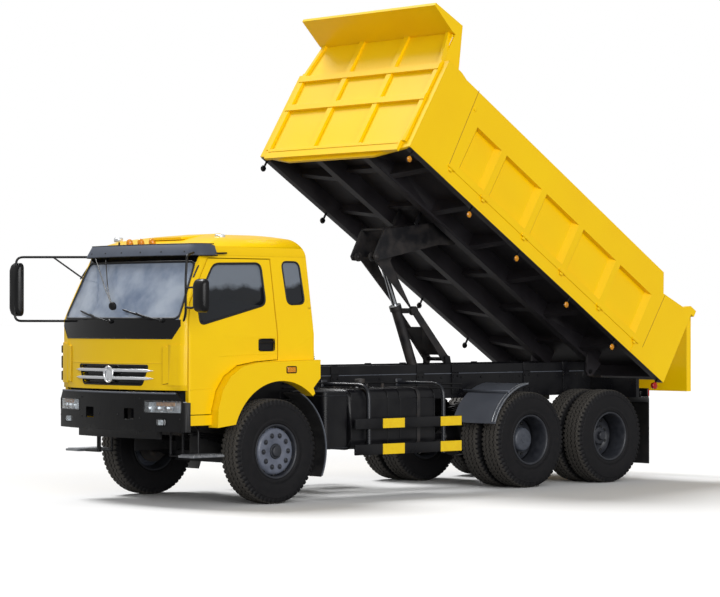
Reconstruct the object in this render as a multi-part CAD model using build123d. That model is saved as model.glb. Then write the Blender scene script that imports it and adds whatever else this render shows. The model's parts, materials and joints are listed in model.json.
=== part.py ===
from build123d import *
import os
from math import atan2, cos, degrees, hypot, radians, sin

# A 6x4 cab-over tipper truck with its bed raised, in millimetres.
# X points forward, Y to the truck's left, Z up; the ground is Z = 0.
# Every station is measured from the front axle, and save() moves the truck so
# that the origin lies on the ground under the middle of its bounding box.
os.makedirs("parts", exist_ok=True)

# ---------------------------------------------------------------- driving sizes
FRONT_AXLE_X = 2566.0        # front axle, forward of the origin
WHEELBASE = 3807.5           # front axle to middle axle
BOGIE_SPREAD = 1344.5        # middle axle to rear axle

TYRE_R = 543.0
TYRE_W = 286.0
RIM_R = 268.0                # bead seat
TRACK_HALF = 1012.0          # middle of the outer tyres
TWIN_SPACING = 330.0         # between the middles of twin tyres
KINGPIN_Y = 850.0
SPINDLE_R = 55.0             # front spindle
TUBE_R = 62.0                # driven axle tube
SEAT = 0.3                   # running clearance of a seated or turning piece
GAP = 8.0                    # shut line between moving panels

RAIL_OUT = 430.0             # outer face of the chassis rails
RAIL_FLANGE = 80.0
RAIL_T = 10.0
RAIL_Z0, RAIL_Z1 = 1010.0, 1290.0
RAIL_FRONT, RAIL_REAR = 1100.0, -5780.0
SUB_Z1 = 1395.0              # top of the tipper subframe
SUB_W = 80.0                 # width of a subframe rail
SUB_FRONT = -800.0
SUB_STEP = -1105.0            # ahead of it the rails are low, under the foot of the headboard

BED_ANGLE = 32.14            # raised bed, degrees
HINGE_X, HINGE_Z = -5550.0, 1280.0
HINGE_U, HINGE_V = 439.8, -125.2   # bed hinge in the bed's own frame
BED_L = 4930.0
BED_HALF = 1238.5
BED_WALL = 88.5              # side wall with its ribs
BED_SHEET = 24.0             # side sheet at the bottom of a pocket
BED_H = 1140.0
FLOOR_V = 190.0              # underside of the floor plate
FLOOR_T = 10.0
SILL_IN, SILL_OUT = 335.0, 435.0
RIB_STATIONS = (1430.0, 2180.0, 2910.0, 3680.0)
BEAM_STATIONS = (690.0, 1430.0, 2180.0, 2900.0, 3610.0, 4360.0)
LAMP_STATIONS = (980.0, 1900.0, 2870.0, 3760.0, 4840.0)
GATE_U, GATE_V = -20.0, 1000.0     # tailgate hinge in the bed's own frame
GATE_DROP = 950.0
GATE_T = 80.0

CAB_HALF = 1050.0
CAB_REAR = -600.0
CAB_NOSE = 1285.0            # middle of the bowed front
NOSE_R = 3500.0              # plan radius of the bowed front
CORNER_R = 110.0
CAB_WALL = 45.0
CAB_LOW = 833.0              # lower edge of the sills
BELT_Z = 1750.0              # the sides lean in above this height
RAKE_Z = 1900.0              # the windscreen starts here
RAKE = 0.50                  # backward lean of the windscreen per unit of height
ROOF_Z = 2560.0              # roof seam
ROOF_TOP = 2810.0
ROOF_HALF = 920.0            # half width at the roof seam
PANEL_Z0 = 1188.0            # lower edge of the front panel
BAND_Z0 = 1710.0             # lower edge of the black band
FLOOR_Z0, FLOOR_Z1 = 1320.0, 1345.0
DOOR_FRONT, DOOR_REAR = 1085.0, -88.0
DOOR_Z0, DOOR_Z1 = 945.0, 2530.0

FENDER_OUT = 1155.0          # outer face of the front fenders

BUMPER_X = 1312.0            # middle of the bumper's face
BUMPER_HALF = 1085.0
BUMPER_Z0, BUMPER_Z1 = 770.0, 1163.0
BUMPER_T = 12.0
TILT_X, TILT_Z = 1235.0, 1020.0    # cab tilt pivot

# Hoist pins in side view, bed raised: (x, z)
PIN_A = (-2311.0, 2611.0)    # triangle arm on the bed bracket
PIN_B = (-2550.0, 2610.0)    # rod eye on the triangle arm
PIN_C = (-2935.0, 2003.6)    # triangle arm on the tension arm
PIN_T = (-3430.0, 1450.0)    # tension arm on the subframe
PIN_E = (-3130.0, 1170.0)    # cylinder base


# ---------------------------------------------------------------- helpers
def box(x0, x1, y0, y1, z0, z1):
    """A block between two opposite corners."""
    middle = Pos((x0 + x1) / 2, (y0 + y1) / 2, (z0 + z1) / 2)
    return middle * Box(x1 - x0, y1 - y0, z1 - z0)


def side_plate(points, y0, y1):
    """A plate whose outline lies in the XZ plane, from y0 to y1."""
    outline = make_face(Polyline(*[(x, y0, z) for x, z in points], close=True))
    return extrude(outline, amount=y1 - y0, dir=(0, 1, 0))


def cross_plate(points, x0, x1):
    """A plate whose outline lies in the YZ plane, from x0 to x1."""
    outline = make_face(Polyline(*[(x0, y, z) for y, z in points], close=True))
    return extrude(outline, amount=x1 - x0, dir=(1, 0, 0))


def flat_plate(points, z0, z1):
    """A plate whose outline lies in the XY plane, from z0 to z1."""
    outline = make_face(Polyline(*[(x, y, z0) for x, y in points], close=True))
    return extrude(outline, amount=z1 - z0, dir=(0, 0, 1))


def rod_y(x, z, y0, y1, radius):
    """A round bar across the truck."""
    return Pos(x, (y0 + y1) / 2, z) * Rot(90, 0, 0) * Cylinder(radius, y1 - y0)


def rod_x(y, z, x0, x1, radius):
    """A round bar along the truck."""
    return Pos((x0 + x1) / 2, y, z) * Rot(0, 90, 0) * Cylinder(radius, x1 - x0)


def rod(start, end, radius):
    """A round bar between two points."""
    along = Vector(*end) - Vector(*start)
    base = Plane(origin=start, z_dir=along)
    return base * Cylinder(radius, along.length, align=(Align.CENTER, Align.CENTER, Align.MIN))


def turned(profile, y):
    """A wheel part revolved about the axle: profile points are (offset outwards, radius)."""
    face = make_face(Polyline(*[(0, y + out, r) for out, r in profile], close=True))
    return revolve(face, Axis.Y, 360)


def both_sides(shape):
    """A piece and its mirror image on the other side of the truck."""
    return shape + mirror(shape, Plane.XZ)


def on_bed(shape):
    """A piece modelled on the level bed, raised about the bed hinge."""
    return Pos(HINGE_X, 0, HINGE_Z) * Rot(0, -BED_ANGLE, 0) * Pos(-HINGE_U, 0, -HINGE_V) * shape


def bed_point(u, v):
    """Where a point of the level bed lies in side view with the bed raised."""
    a = radians(BED_ANGLE)
    du, dv = u - HINGE_U, v - HINGE_V
    return HINGE_X + du * cos(a) - dv * sin(a), HINGE_Z + du * sin(a) + dv * cos(a)


def save(shape, name):
    """Write one sub-part, moved so that the origin is under the truck's middle."""
    export_step(Pos(FRONT_AXLE_X, 0, 0) * shape, f"parts/{name}.step")


# ---------------------------------------------------------------- wheels
MID_AXLE = -WHEELBASE
REAR_AXLE = -WHEELBASE - BOGIE_SPREAD
AXLE_Z = TYRE_R

# tyre section: (offset from its middle as a share of half the width, radius)
TYRE_SECTION = ((-0.76, RIM_R), (-1.0, 350), (-1.0, 470), (-0.84, TYRE_R),
                (0.84, TYRE_R), (1.0, 470), (1.0, 350), (0.76, RIM_R))


def tyre(y):
    return turned([(share * TYRE_W / 2, r) for share, r in TYRE_SECTION], y)


def rim_barrel(inner, outer):
    """The rolled rim under one tyre, with its flanges, as profile points."""
    return [(inner, RIM_R + 14), (inner + 14, RIM_R + 14), (inner + 18, RIM_R - SEAT),
            (outer - 18, RIM_R - SEAT), (outer - 14, RIM_R + 14), (outer, RIM_R + 14),
            (outer, RIM_R - 16), (inner, RIM_R - 16)]


def front_rim():
    """Rim, convex disc with its hub, in line with the kingpin side hollow."""
    half = TYRE_W / 2 - 12
    barrel = turned(rim_barrel(-half, half), TRACK_HALF)
    disc = turned([(40, RIM_R - 16), (92, 215), (104, 130), (104, 92), (92, 92), (92, 125),
                   (80, 205), (26, RIM_R - 16)], TRACK_HALF)
    hub = turned([(-60, SPINDLE_R + SEAT), (-60, 110), (30, 110), (60, 92), (112, 92), (112, 78),
                  (150, 70), (150, 0), (-20, 0), (-20, SPINDLE_R + SEAT)], TRACK_HALF)
    return barrel + disc + hub


def rear_rim():
    """Twin rims on one hub, with the brake drum in the inner one."""
    half = TYRE_W / 2 - 12
    inner_y = TRACK_HALF - TWIN_SPACING
    outer_rim = turned(rim_barrel(-half, half), TRACK_HALF)
    inner_rim = turned(rim_barrel(-half, half), inner_y)
    seam = -TWIN_SPACING / 2
    disc = turned([(seam + 75, RIM_R - 16), (seam + 60, 220), (seam + 12, 190), (seam + 12, 120),
                   (seam - 12, 120), (seam - 12, 190), (seam - 60, 220), (seam - 75, RIM_R - 16),
                   (seam - 55, RIM_R - 16), (seam, 225), (seam + 55, RIM_R - 16)], TRACK_HALF)
    hub = turned([(seam - 60, TUBE_R + SEAT), (seam - 60, 120), (seam + 40, 120), (seam + 90, 100),
                  (60, 92), (78, 70), (78, 0), (seam + 12, 0), (seam + 12, TUBE_R + SEAT)], TRACK_HALF)
    return outer_rim + inner_rim + disc + hub


front_tyre = tyre(TRACK_HALF)
twin_tyres = tyre(TRACK_HALF) + tyre(TRACK_HALF - TWIN_SPACING)
# wheel name, station, tyre solid, rim solid
AXLES = (("front", 0.0, front_tyre, front_rim()),
         ("middle", MID_AXLE, twin_tyres, rear_rim()),
         ("rear", REAR_AXLE, twin_tyres, rear_rim()))
for axle, station, rubber, steel in AXLES:
    for side, flip in (("left", False), ("right", True)):
        for kind, solid in (("tyre", rubber), ("rim", steel)):
            turned_side = mirror(solid, Plane.XZ) if flip else solid
            save(Pos(station, 0, AXLE_Z) * turned_side, f"{axle}_{side}_{kind}")

# ---------------------------------------------------------------- front axle and knuckles
PIN_Z0, PIN_Z1 = 470.0, 600.0    # boss of the beam on the kingpin
beam = side_plate([(-45, 395), (45, 395), (45, 505), (-45, 505)], -480, 480)
beam_ends = both_sides(cross_plate([(480, 395), (760, PIN_Z0), (KINGPIN_Y - 20, PIN_Z0),
                                    (KINGPIN_Y - 20, PIN_Z1), (760, PIN_Z1), (480, 505)], -38, 38)
                       + Pos(0, KINGPIN_Y, (PIN_Z0 + PIN_Z1) / 2) * Cylinder(38, PIN_Z1 - PIN_Z0))
king_bore = both_sides(Pos(0, KINGPIN_Y, 535) * Cylinder(25 + SEAT, 160))
front_beam = beam + beam_ends - king_bore

for side, flip in (("left", False), ("right", True)):
    yoke = box(-50, 50, KINGPIN_Y - 45, KINGPIN_Y + 45, 425, 645)
    yoke -= box(-60, 60, KINGPIN_Y - 90, KINGPIN_Y + 44, 464, 606)
    yoke += box(-50, 50, KINGPIN_Y + 44, KINGPIN_Y + 70, 425, 645)
    pin = Pos(0, KINGPIN_Y, 535) * Cylinder(25, 160)
    spindle = rod_y(0, AXLE_Z, KINGPIN_Y + 70, TRACK_HALF - 22, SPINDLE_R)
    plate = rod_y(0, AXLE_Z, KINGPIN_Y + 60, KINGPIN_Y + 74, 190)
    arm = box(-250, -50, KINGPIN_Y - 30, KINGPIN_Y - 5, 425, 455)
    knuckle = yoke + pin + spindle + plate + arm
    save(mirror(knuckle, Plane.XZ) if flip else knuckle, f"knuckle_{side}")

# ---------------------------------------------------------------- chassis frame
FLANGE_IN = RAIL_OUT - RAIL_FLANGE
WEB_IN = RAIL_OUT - RAIL_T
CROSS_STATIONS = (880.0, -1750.0, -3520.0, -4480.0, -5700.0)


def chassis_frame():
    """Channel rails, cross members, cab pivot lugs, hoist pin and bed hinge pins."""
    rail = box(RAIL_REAR, RAIL_FRONT, FLANGE_IN, RAIL_OUT, RAIL_Z0, RAIL_Z1)
    rail -= box(RAIL_REAR - 1, RAIL_FRONT + 1, FLANGE_IN - 1, WEB_IN,
                RAIL_Z0 + RAIL_T, RAIL_Z1 - RAIL_T)
    frame = both_sides(rail)
    for station in CROSS_STATIONS:
        member = box(station - 45, station + 45, -WEB_IN, WEB_IN, RAIL_Z0 + RAIL_T, RAIL_Z1 - RAIL_T)
        member -= box(station - 37, station + 46, -WEB_IN, WEB_IN, RAIL_Z0 + 30, RAIL_Z1 - 30)
        frame += member
    frame += rod_y(*PIN_E, -WEB_IN, WEB_IN, 30)
    lug = side_plate([(RAIL_FRONT - 90, RAIL_Z0), (TILT_X, TILT_Z - 22), (TILT_X + 22, TILT_Z),
                      (TILT_X, TILT_Z + 22), (RAIL_FRONT - 90, RAIL_Z1 - 80)],
                     RAIL_OUT, RAIL_OUT + 20)
    frame += both_sides(lug + rod_y(TILT_X, TILT_Z, RAIL_OUT + 20, RAIL_OUT + 60, 16))
    boss = rod_y(HINGE_X, HINGE_Z - 40, RAIL_OUT, RAIL_OUT + 6, 90)
    frame += both_sides(boss + rod_y(HINGE_X, HINGE_Z, RAIL_OUT, RAIL_OUT + 50, 25))
    return frame


TOW_X, TOW_Y, TOW_Z, TOW_BORE = 1212.5, 330.0, 945.0, 22.0
TOW_T = 25.0                 # thickness of the tow plate


def tow_brackets():
    """A cheek under each rail end, with a cross plate whose bore faces the bumper's recess."""
    cheek = side_plate([(RAIL_FRONT - 160, RAIL_Z0), (RAIL_FRONT - 10, RAIL_Z0), (TOW_X + TOW_T / 2, TOW_Z + 45),
                        (TOW_X + TOW_T / 2, TOW_Z - 45), (RAIL_FRONT - 160, TOW_Z - 45)], TOW_Y + 40, TOW_Y + 65)
    plate = box(TOW_X - TOW_T / 2, TOW_X + TOW_T / 2, TOW_Y - 45, TOW_Y + 40, TOW_Z - 45, TOW_Z + 45)
    plate -= rod_x(TOW_Y, TOW_Z, TOW_X - TOW_T, TOW_X + TOW_T, TOW_BORE)
    return both_sides(cheek + plate)


save(chassis_frame() + tow_brackets(), "chassis_frame")

# ---------------------------------------------------------------- tipper subframe
SUB_OUT = RAIL_OUT - 5
SUB_IN = SUB_OUT - SUB_W
SUB_BEAMS = (-1200.0, -1750.0, -3450.0, -4480.0, -5200.0)
EAR_Y0, EAR_Y1 = 166.0, 186.0


def tipper_subframe():
    """Long rails on the chassis, cross beams and the ears of the tension arm."""
    rail = side_plate([(SUB_FRONT, RAIL_Z1), (SUB_FRONT, RAIL_Z1 + 10), (SUB_STEP, RAIL_Z1 + 10),
                       (SUB_STEP, SUB_Z1), (HINGE_X, SUB_Z1), (HINGE_X - 60, RAIL_Z1 + 50), (HINGE_X - 60, RAIL_Z1)],
                      SUB_IN, SUB_OUT)
    subframe = both_sides(rail)
    for station in SUB_BEAMS:
        subframe += box(station - 50, station + 50, -SUB_IN, SUB_IN, RAIL_Z1 + 10, SUB_Z1 - 25)
    x, z = PIN_T
    ear = side_plate([(x - 70, SUB_Z1 - 45), (x - 40, z + 30), (x, z + 45), (x + 40, z + 30),
                      (x + 30, SUB_Z1 - 45)], EAR_Y0, EAR_Y1)
    return subframe + both_sides(ear) + rod_y(x, z, -EAR_Y1, EAR_Y1, 22)


save(tipper_subframe(), "tipper_subframe")

# ---------------------------------------------------------------- driveline
SHAFT_Z = 600.0
ENGINE_REAR = -480.0


def power_unit():
    """Engine, clutch housing and gearbox as plain blocks between the rails."""
    engine = box(ENGINE_REAR, 640, -330, 330, 700, 1500)
    engine -= both_sides(box(ENGINE_REAR - 1, 641, 200, 331, 1250, 1501))
    radiator = box(720, 800, -330, 330, 760, 1440)
    hose = rod_x(0, 1300, 640, 720, 45)
    housing = Plane(origin=(ENGINE_REAR, 0, 800), z_dir=(-1, 0, 0)) * Cone(
        250, 170, ENGINE_REAR + 740, align=(Align.CENTER, Align.CENTER, Align.MIN))
    gearbox = box(-1000, -740, -150, 150, 560, 960)
    cross = both_sides(box(-40, 40, 330, FLANGE_IN + 40, 1060, 1120) + box(-960, -880, 150, WEB_IN, 1020, 1060)
                       + box(-960, -880, 120, 180, 940, 1061))
    return engine + radiator + hose + housing + gearbox + cross


def prop_shafts():
    """The shaft to the middle axle and the short shaft between the driven axles."""
    start, end = (-1010.0, 0, SHAFT_Z), (MID_AXLE + 330, 0, AXLE_Z + 10)
    main = rod(start, end, 38) + rod_x(0, SHAFT_Z, -1040, -1000, 70)
    return main + rod_x(0, AXLE_Z + 10, REAR_AXLE + 330, MID_AXLE - 130, 38)


def drive_axle(station):
    """Banjo housing, tapering tubes and differential nose."""
    banjo = rod_x(0, AXLE_Z, station - 130, station + 130, 215)
    nose = Plane(origin=(station + 130, 0, AXLE_Z), z_dir=(1, 0, 0)) * Cone(
        170, 80, 200, align=(Align.CENTER, Align.CENTER, Align.MIN))
    tube = rod_y(station, AXLE_Z, 60, TRACK_HALF - TWIN_SPACING / 2 + 6, TUBE_R)
    return banjo + nose + both_sides(tube)


SPRING_Y0, SPRING_Y1 = RAIL_OUT + 6, RAIL_OUT + 86


def leaf_pack(middle, half, z_seat, leaves, rise):
    """A tapering stack of leaves that rises to its eyes, in side view."""
    stack = None
    for n in range(leaves):
        reach = half * (1 - n / (leaves + 1))
        top = z_seat - 14 * n
        lift = rise * (reach / half) ** 2
        leaf = side_plate([(middle - reach, top + lift), (middle, top), (middle + reach, top + lift),
                           (middle + reach, top + lift - 12), (middle, top - 12),
                           (middle - reach, top + lift - 12)], SPRING_Y0, SPRING_Y1)
        stack = leaf if stack is None else stack + leaf
    return stack


def front_springs():
    z = AXLE_Z + 130
    pack = leaf_pack(0, 720, z, 5, 90)
    seat = box(-60, 60, SPRING_Y0, SPRING_Y1, 505, z - 70)
    clamp = box(-75, 75, SPRING_Y0 - 4, SPRING_Y1 + 4, z - 72, z + 20)
    hangers = None
    for x in (-720.0, 720.0):
        hanger = side_plate([(x - 40, z + 78), (x + 40, z + 78), (x + 55, RAIL_Z0 + 120),
                             (x - 55, RAIL_Z0 + 120)], RAIL_OUT, RAIL_OUT + 6)
        eye = rod_y(x, z + 86, RAIL_OUT, SPRING_Y1, 28)
        hangers = hanger + eye if hangers is None else hangers + hanger + eye
    return both_sides(pack + seat + clamp + hangers)


def bogie_springs():
    """Inverted packs on a centre trunnion, their ends on the two axles."""
    middle = (MID_AXLE + REAR_AXLE) / 2
    half = BOGIE_SPREAD / 2
    top = 840.0
    stack = None
    for n in range(6):
        reach = half * (1 - 0.13 * n)
        z = top + 16 * n
        leaf = side_plate([(middle - reach, z - 110 * (reach / half) ** 2), (middle, z),
                           (middle + reach, z - 110 * (reach / half) ** 2),
                           (middle + reach, z - 110 * (reach / half) ** 2 + 14), (middle, z + 14),
                           (middle - reach, z - 110 * (reach / half) ** 2 + 14)],
                          SPRING_Y0, SPRING_Y1)
        stack = leaf if stack is None else stack + leaf
    saddle = side_plate([(middle - 130, RAIL_Z0 + 120), (middle + 130, RAIL_Z0 + 120),
                         (middle + 70, top - 60), (middle - 70, top - 60)], RAIL_OUT, RAIL_OUT + 6)
    trunnion = rod_y(middle, top - 70, -SPRING_Y1, SPRING_Y1, 55)
    seats = None
    for station in (MID_AXLE, REAR_AXLE):
        seat = box(station - 60, station + 60, SPRING_Y0, SPRING_Y1, AXLE_Z + 40, top - 108)
        seats = seat if seats is None else seats + seat
    block = box(middle - 80, middle + 80, SPRING_Y0, SPRING_Y1, top - 60, top + 100)
    return both_sides(stack + saddle + seats + block) + trunnion


save(power_unit(), "power_unit")
save(front_beam + front_springs(), "front_axle")
save(drive_axle(MID_AXLE) + drive_axle(REAR_AXLE) + prop_shafts() + bogie_springs(), "rear_axles")

# ---------------------------------------------------------------- tanks, guards and steps
TANK_X0, TANK_X1, TANK_Y0, TANK_Y1, TANK_Z0, TANK_Z1 = -2330.0, -1080.0, 455.0, 1100.0, 520.0, 1160.0


def rounded_case(x0, x1, y0, y1, z0, z1, radius):
    """A case whose long edges are rounded."""
    case = box(x0, x1, y0, y1, z0, z1)
    return fillet(case.edges().filter_by(Axis.X), radius)


CASE_X0, CASE_X1 = -1055.0, -700.0    # air tank case between the front wheel and the tank


def fuel_tank():
    """Fuel tank with its filler and the air tank case ahead of it, on arms from the left rail."""
    tank = rounded_case(TANK_X0, TANK_X1, TANK_Y0, TANK_Y1, TANK_Z0, TANK_Z1, 110)
    case = box(CASE_X0, CASE_X1, 530, TANK_Y1, 535, 1145)
    case = fillet(case.edges().filter_by(Axis.Z), 60)
    tank += case + box(CASE_X0 + 120, CASE_X0 + 180, RAIL_OUT, 530, 700, RAIL_Z0 + 100)
    neck = Pos(TANK_X1 - 500, 700, TANK_Z1) * Cylinder(50, 60)
    arms = None
    for x in (TANK_X1 - 250, TANK_X0 + 250):
        arm = box(x - 30, x + 30, RAIL_OUT, TANK_Y0, 700, RAIL_Z0 + 100)
        arms = arm if arms is None else arms + arm
    return tank + neck + arms


def right_side_units():
    """Battery box and silencer on the right rail, air tanks behind them."""
    battery = box(-1700, -1100, -1080, -480, 560, 1080)
    silencer = Pos(-2150, -790, 820) * Rot(0, 90, 0) * Cylinder(210, 620)
    arms = None
    for x in (-1600.0, -1200.0, -1950.0, -2350.0):
        arm = box(x - 30, x + 30, -640, -RAIL_OUT, 800, 860) if x < -1900 else \
            box(x - 30, x + 30, -480, -RAIL_OUT, 760, RAIL_Z0 + 100)
        if x < -1900:
            arm += box(x - 30, x + 30, -RAIL_OUT - 30, -RAIL_OUT, 800, RAIL_Z0 + 100)
        arms = arm if arms is None else arms + arm
    pipe = rod_x(-790, 820, -1840, -1699, 60)
    return battery + silencer + arms + pipe


GUARD_Y = 1200.0
GUARD_X0, GUARD_X1 = -2650.0, -1060.0
GUARD_RAILS = ((460.0, 580.0), (740.0, 850.0))     # bottom and top of each rail
REFLECTORS = ((-1775.0, -1455.0), (-2640.0, -2320.0))


def side_guards():
    """Two flat rails a side, on posts that hang from tubes over the tank."""
    guards = None
    for z0, z1 in GUARD_RAILS:
        plank = box(GUARD_X0, GUARD_X1, GUARD_Y - 26, GUARD_Y, z0, z1)
        guards = plank if guards is None else guards + plank
    for x in (-1295.0, -2410.0):
        post = box(x - 25, x + 25, GUARD_Y - 66, GUARD_Y - 26, 440, 1180)
        foot = box(x - 25, x + 25, RAIL_OUT, GUARD_Y - 66, 1175, 1215)
        guards += post + foot + box(x - 25, x + 25, GUARD_Y - 66, GUARD_Y - 26, 1175, 1215)
    return both_sides(guards)


def guard_reflectors():
    plates = None
    for x0, x1 in REFLECTORS:
        for z0, z1 in GUARD_RAILS:
            plate = box(x0, x1, GUARD_Y, GUARD_Y + 4, z0 + 4, z1 - 4)
            plates = plate if plates is None else plates + plate
    return both_sides(plates)


def arc_guard(station, radius, first, last, y0, y1, thickness):
    """A sheet bent about an axle, from one angle to another above the horizontal."""
    def at(r, angle):
        return station + r * cos(radians(angle)), AXLE_Z + r * sin(radians(angle))
    middle = (first + last) / 2
    inner = ThreePointArc(*[(x, y0, z) for x, z in (at(radius, first), at(radius, middle), at(radius, last))])
    outer = ThreePointArc(*[(x, y0, z) for x, z in
                            (at(radius + thickness, last), at(radius + thickness, middle),
                             at(radius + thickness, first))])
    ends = [Line(inner @ 1, outer @ 0), Line(outer @ 1, inner @ 0)]
    return extrude(make_face([inner, outer] + ends), amount=y1 - y0, dir=(0, 1, 0))


def rear_mudguards():
    """The guard ahead of the middle wheels and the flap behind the rear wheels."""
    guard = arc_guard(MID_AXLE, 632, 18, 84, 500, 1170, 10)
    stay = rod_y(MID_AXLE + 360, AXLE_Z + 550, RAIL_OUT, 1150, 18)
    flap = box(REAR_AXLE - 660, REAR_AXLE - 645, 540, 1170, 200, 965)
    bar = box(REAR_AXLE - 645, REAR_AXLE - 615, RAIL_OUT, 1180, 925, 985)
    return both_sides(guard + stay + flap + bar + box(REAR_AXLE - 645, REAR_AXLE - 560, RAIL_OUT, RAIL_OUT + 12,
                                                      925, 1080))


def front_arch_liners():
    """Flaps that curve behind the front tyres, on bars from the chassis rails."""
    liner = arc_guard(0, 668, 118, 205, 880, 1150, 12)
    return both_sides(liner + rod_y(-451, AXLE_Z + 501, RAIL_OUT, 900, 18))


def entry_steps():
    """A tread plate on hangers under each door."""
    tread = box(640, 1060, 590, 1090, 505, 530)
    hanger = box(790, 810, 590, 610, 530, 1080) + box(950, 970, 590, 610, 530, 1080)
    return both_sides(tread + hanger + box(790, 970, RAIL_OUT, 610, 1060, 1080))


def rear_lamps():
    """Combination lamp on each flap bar."""
    return both_sides(box(REAR_AXLE - 680, REAR_AXLE - 645, 960, 1160, 985, 1090)
                      + box(REAR_AXLE - 645, REAR_AXLE - 625, 1000, 1060, 985, 1060))


save(fuel_tank(), "fuel_tank")
save(right_side_units(), "battery_and_silencer")
save(side_guards(), "side_guards")
save(guard_reflectors(), "guard_reflectors")
save(rear_mudguards(), "rear_mudguards")
save(front_arch_liners(), "front_arch_liners")
save(entry_steps(), "entry_steps")
save(rear_lamps(), "rear_lamps")

# ---------------------------------------------------------------- bumper
LAMP_Y0, LAMP_Y1, LAMP_Z0, LAMP_Z1 = 545.0, 1020.0, 955.0, 1080.0


def nose_outline(nose, half, corner, z, rear=CAB_REAR):
    """Plan of the cab: straight sides, round corners tangent to them and to a bowed front."""
    bow_x = nose - NOSE_R
    corner_y = half - corner
    corner_x = bow_x + ((NOSE_R - corner) ** 2 - corner_y ** 2) ** 0.5
    reach = NOSE_R / (NOSE_R - corner)
    meet_x, meet_y = bow_x + (corner_x - bow_x) * reach, corner_y * reach
    halfway = (atan2(meet_y, meet_x - bow_x) + radians(90)) / 2
    mid_x, mid_y = corner_x + corner * cos(halfway), corner_y + corner * sin(halfway)
    return make_face([
        ThreePointArc((meet_x, -meet_y, z), (nose, 0, z), (meet_x, meet_y, z)),
        ThreePointArc((meet_x, meet_y, z), (mid_x, mid_y, z), (corner_x, half, z)),
        Polyline((corner_x, half, z), (rear, half, z), (rear, -half, z), (corner_x, -half, z)),
        ThreePointArc((corner_x, -half, z), (mid_x, -mid_y, z), (meet_x, -meet_y, z))])


def nose_block(nose, half, corner, z0, z1, rear=CAB_REAR):
    return extrude(nose_outline(nose, half, corner, z0, rear), amount=z1 - z0, dir=(0, 0, 1))


BUMPER_REAR = 1090.0
# what is cut from the top corners, so that the doors of the tilted cab pass
BUMPER_SLOPE = ((960, BUMPER_Z1 + 2), (1005, 1100), (1030, 1068), (1100, 1068), (1100, BUMPER_Z1 + 2))


def front_bumper():
    """A bowed shell, open at the top and back, with lamp and tow recesses."""
    shell = nose_block(BUMPER_X, BUMPER_HALF, CORNER_R, BUMPER_Z0, BUMPER_Z1, 900)
    shell -= nose_block(BUMPER_X - BUMPER_T, BUMPER_HALF - BUMPER_T, CORNER_R - BUMPER_T,
                        BUMPER_Z0 + BUMPER_T, BUMPER_Z1 + 1, 890)
    shell -= box(800, BUMPER_REAR, -1200, 1200, BUMPER_Z0 - 1, BUMPER_Z1 + 1)
    shell -= both_sides(cross_plate(BUMPER_SLOPE, 900, BUMPER_X))
    shell -= both_sides(box(BUMPER_X - 300, BUMPER_X + 10, TOW_Y - 75, TOW_Y + 75, 890, 1000))
    shell -= both_sides(box(BUMPER_X - 300, BUMPER_X + 10, LAMP_Y0, LAMP_Y1, LAMP_Z0, LAMP_Z1))
    valance = nose_block(BUMPER_X - 60, 700, 60, 690, BUMPER_Z0, 900)
    valance -= nose_block(BUMPER_X - 72, 688, 48, 689, BUMPER_Z0 + 1, 890)
    valance -= box(800, BUMPER_REAR + 60, -1200, 1200, 680, BUMPER_Z0 + 1)
    stays = both_sides(box(RAIL_FRONT, BUMPER_X - 20, RAIL_OUT - 20, RAIL_OUT, 1100, 1150))
    return shell + valance + (stays & nose_block(BUMPER_X - 5, 900, 10, 0, 2000, 900))


def bumper_lamps():
    """Headlamps with their housings, and round fog lamps."""
    glass = nose_block(BUMPER_X - 4, BUMPER_HALF - 4, CORNER_R - 4, LAMP_Z0, LAMP_Z1, 900)
    glass -= nose_block(BUMPER_X - 60, BUMPER_HALF - 60, CORNER_R - 60, LAMP_Z0 - 1, LAMP_Z1 + 1, 890)
    heads = both_sides(glass & box(BUMPER_REAR + 40, BUMPER_X, LAMP_Y0, LAMP_Y1, LAMP_Z0, LAMP_Z1))
    front_x = BUMPER_X - NOSE_R + (NOSE_R ** 2 - 760 ** 2) ** 0.5
    fogs = both_sides(rod_x(760, 865, front_x - 40, front_x + 12, 42) -
                      nose_block(BUMPER_X, BUMPER_HALF, CORNER_R, 700, 1000, 900))
    return heads + fogs


save(front_bumper(), "front_bumper")
save(bumper_lamps(), "bumper_lamps")

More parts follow.
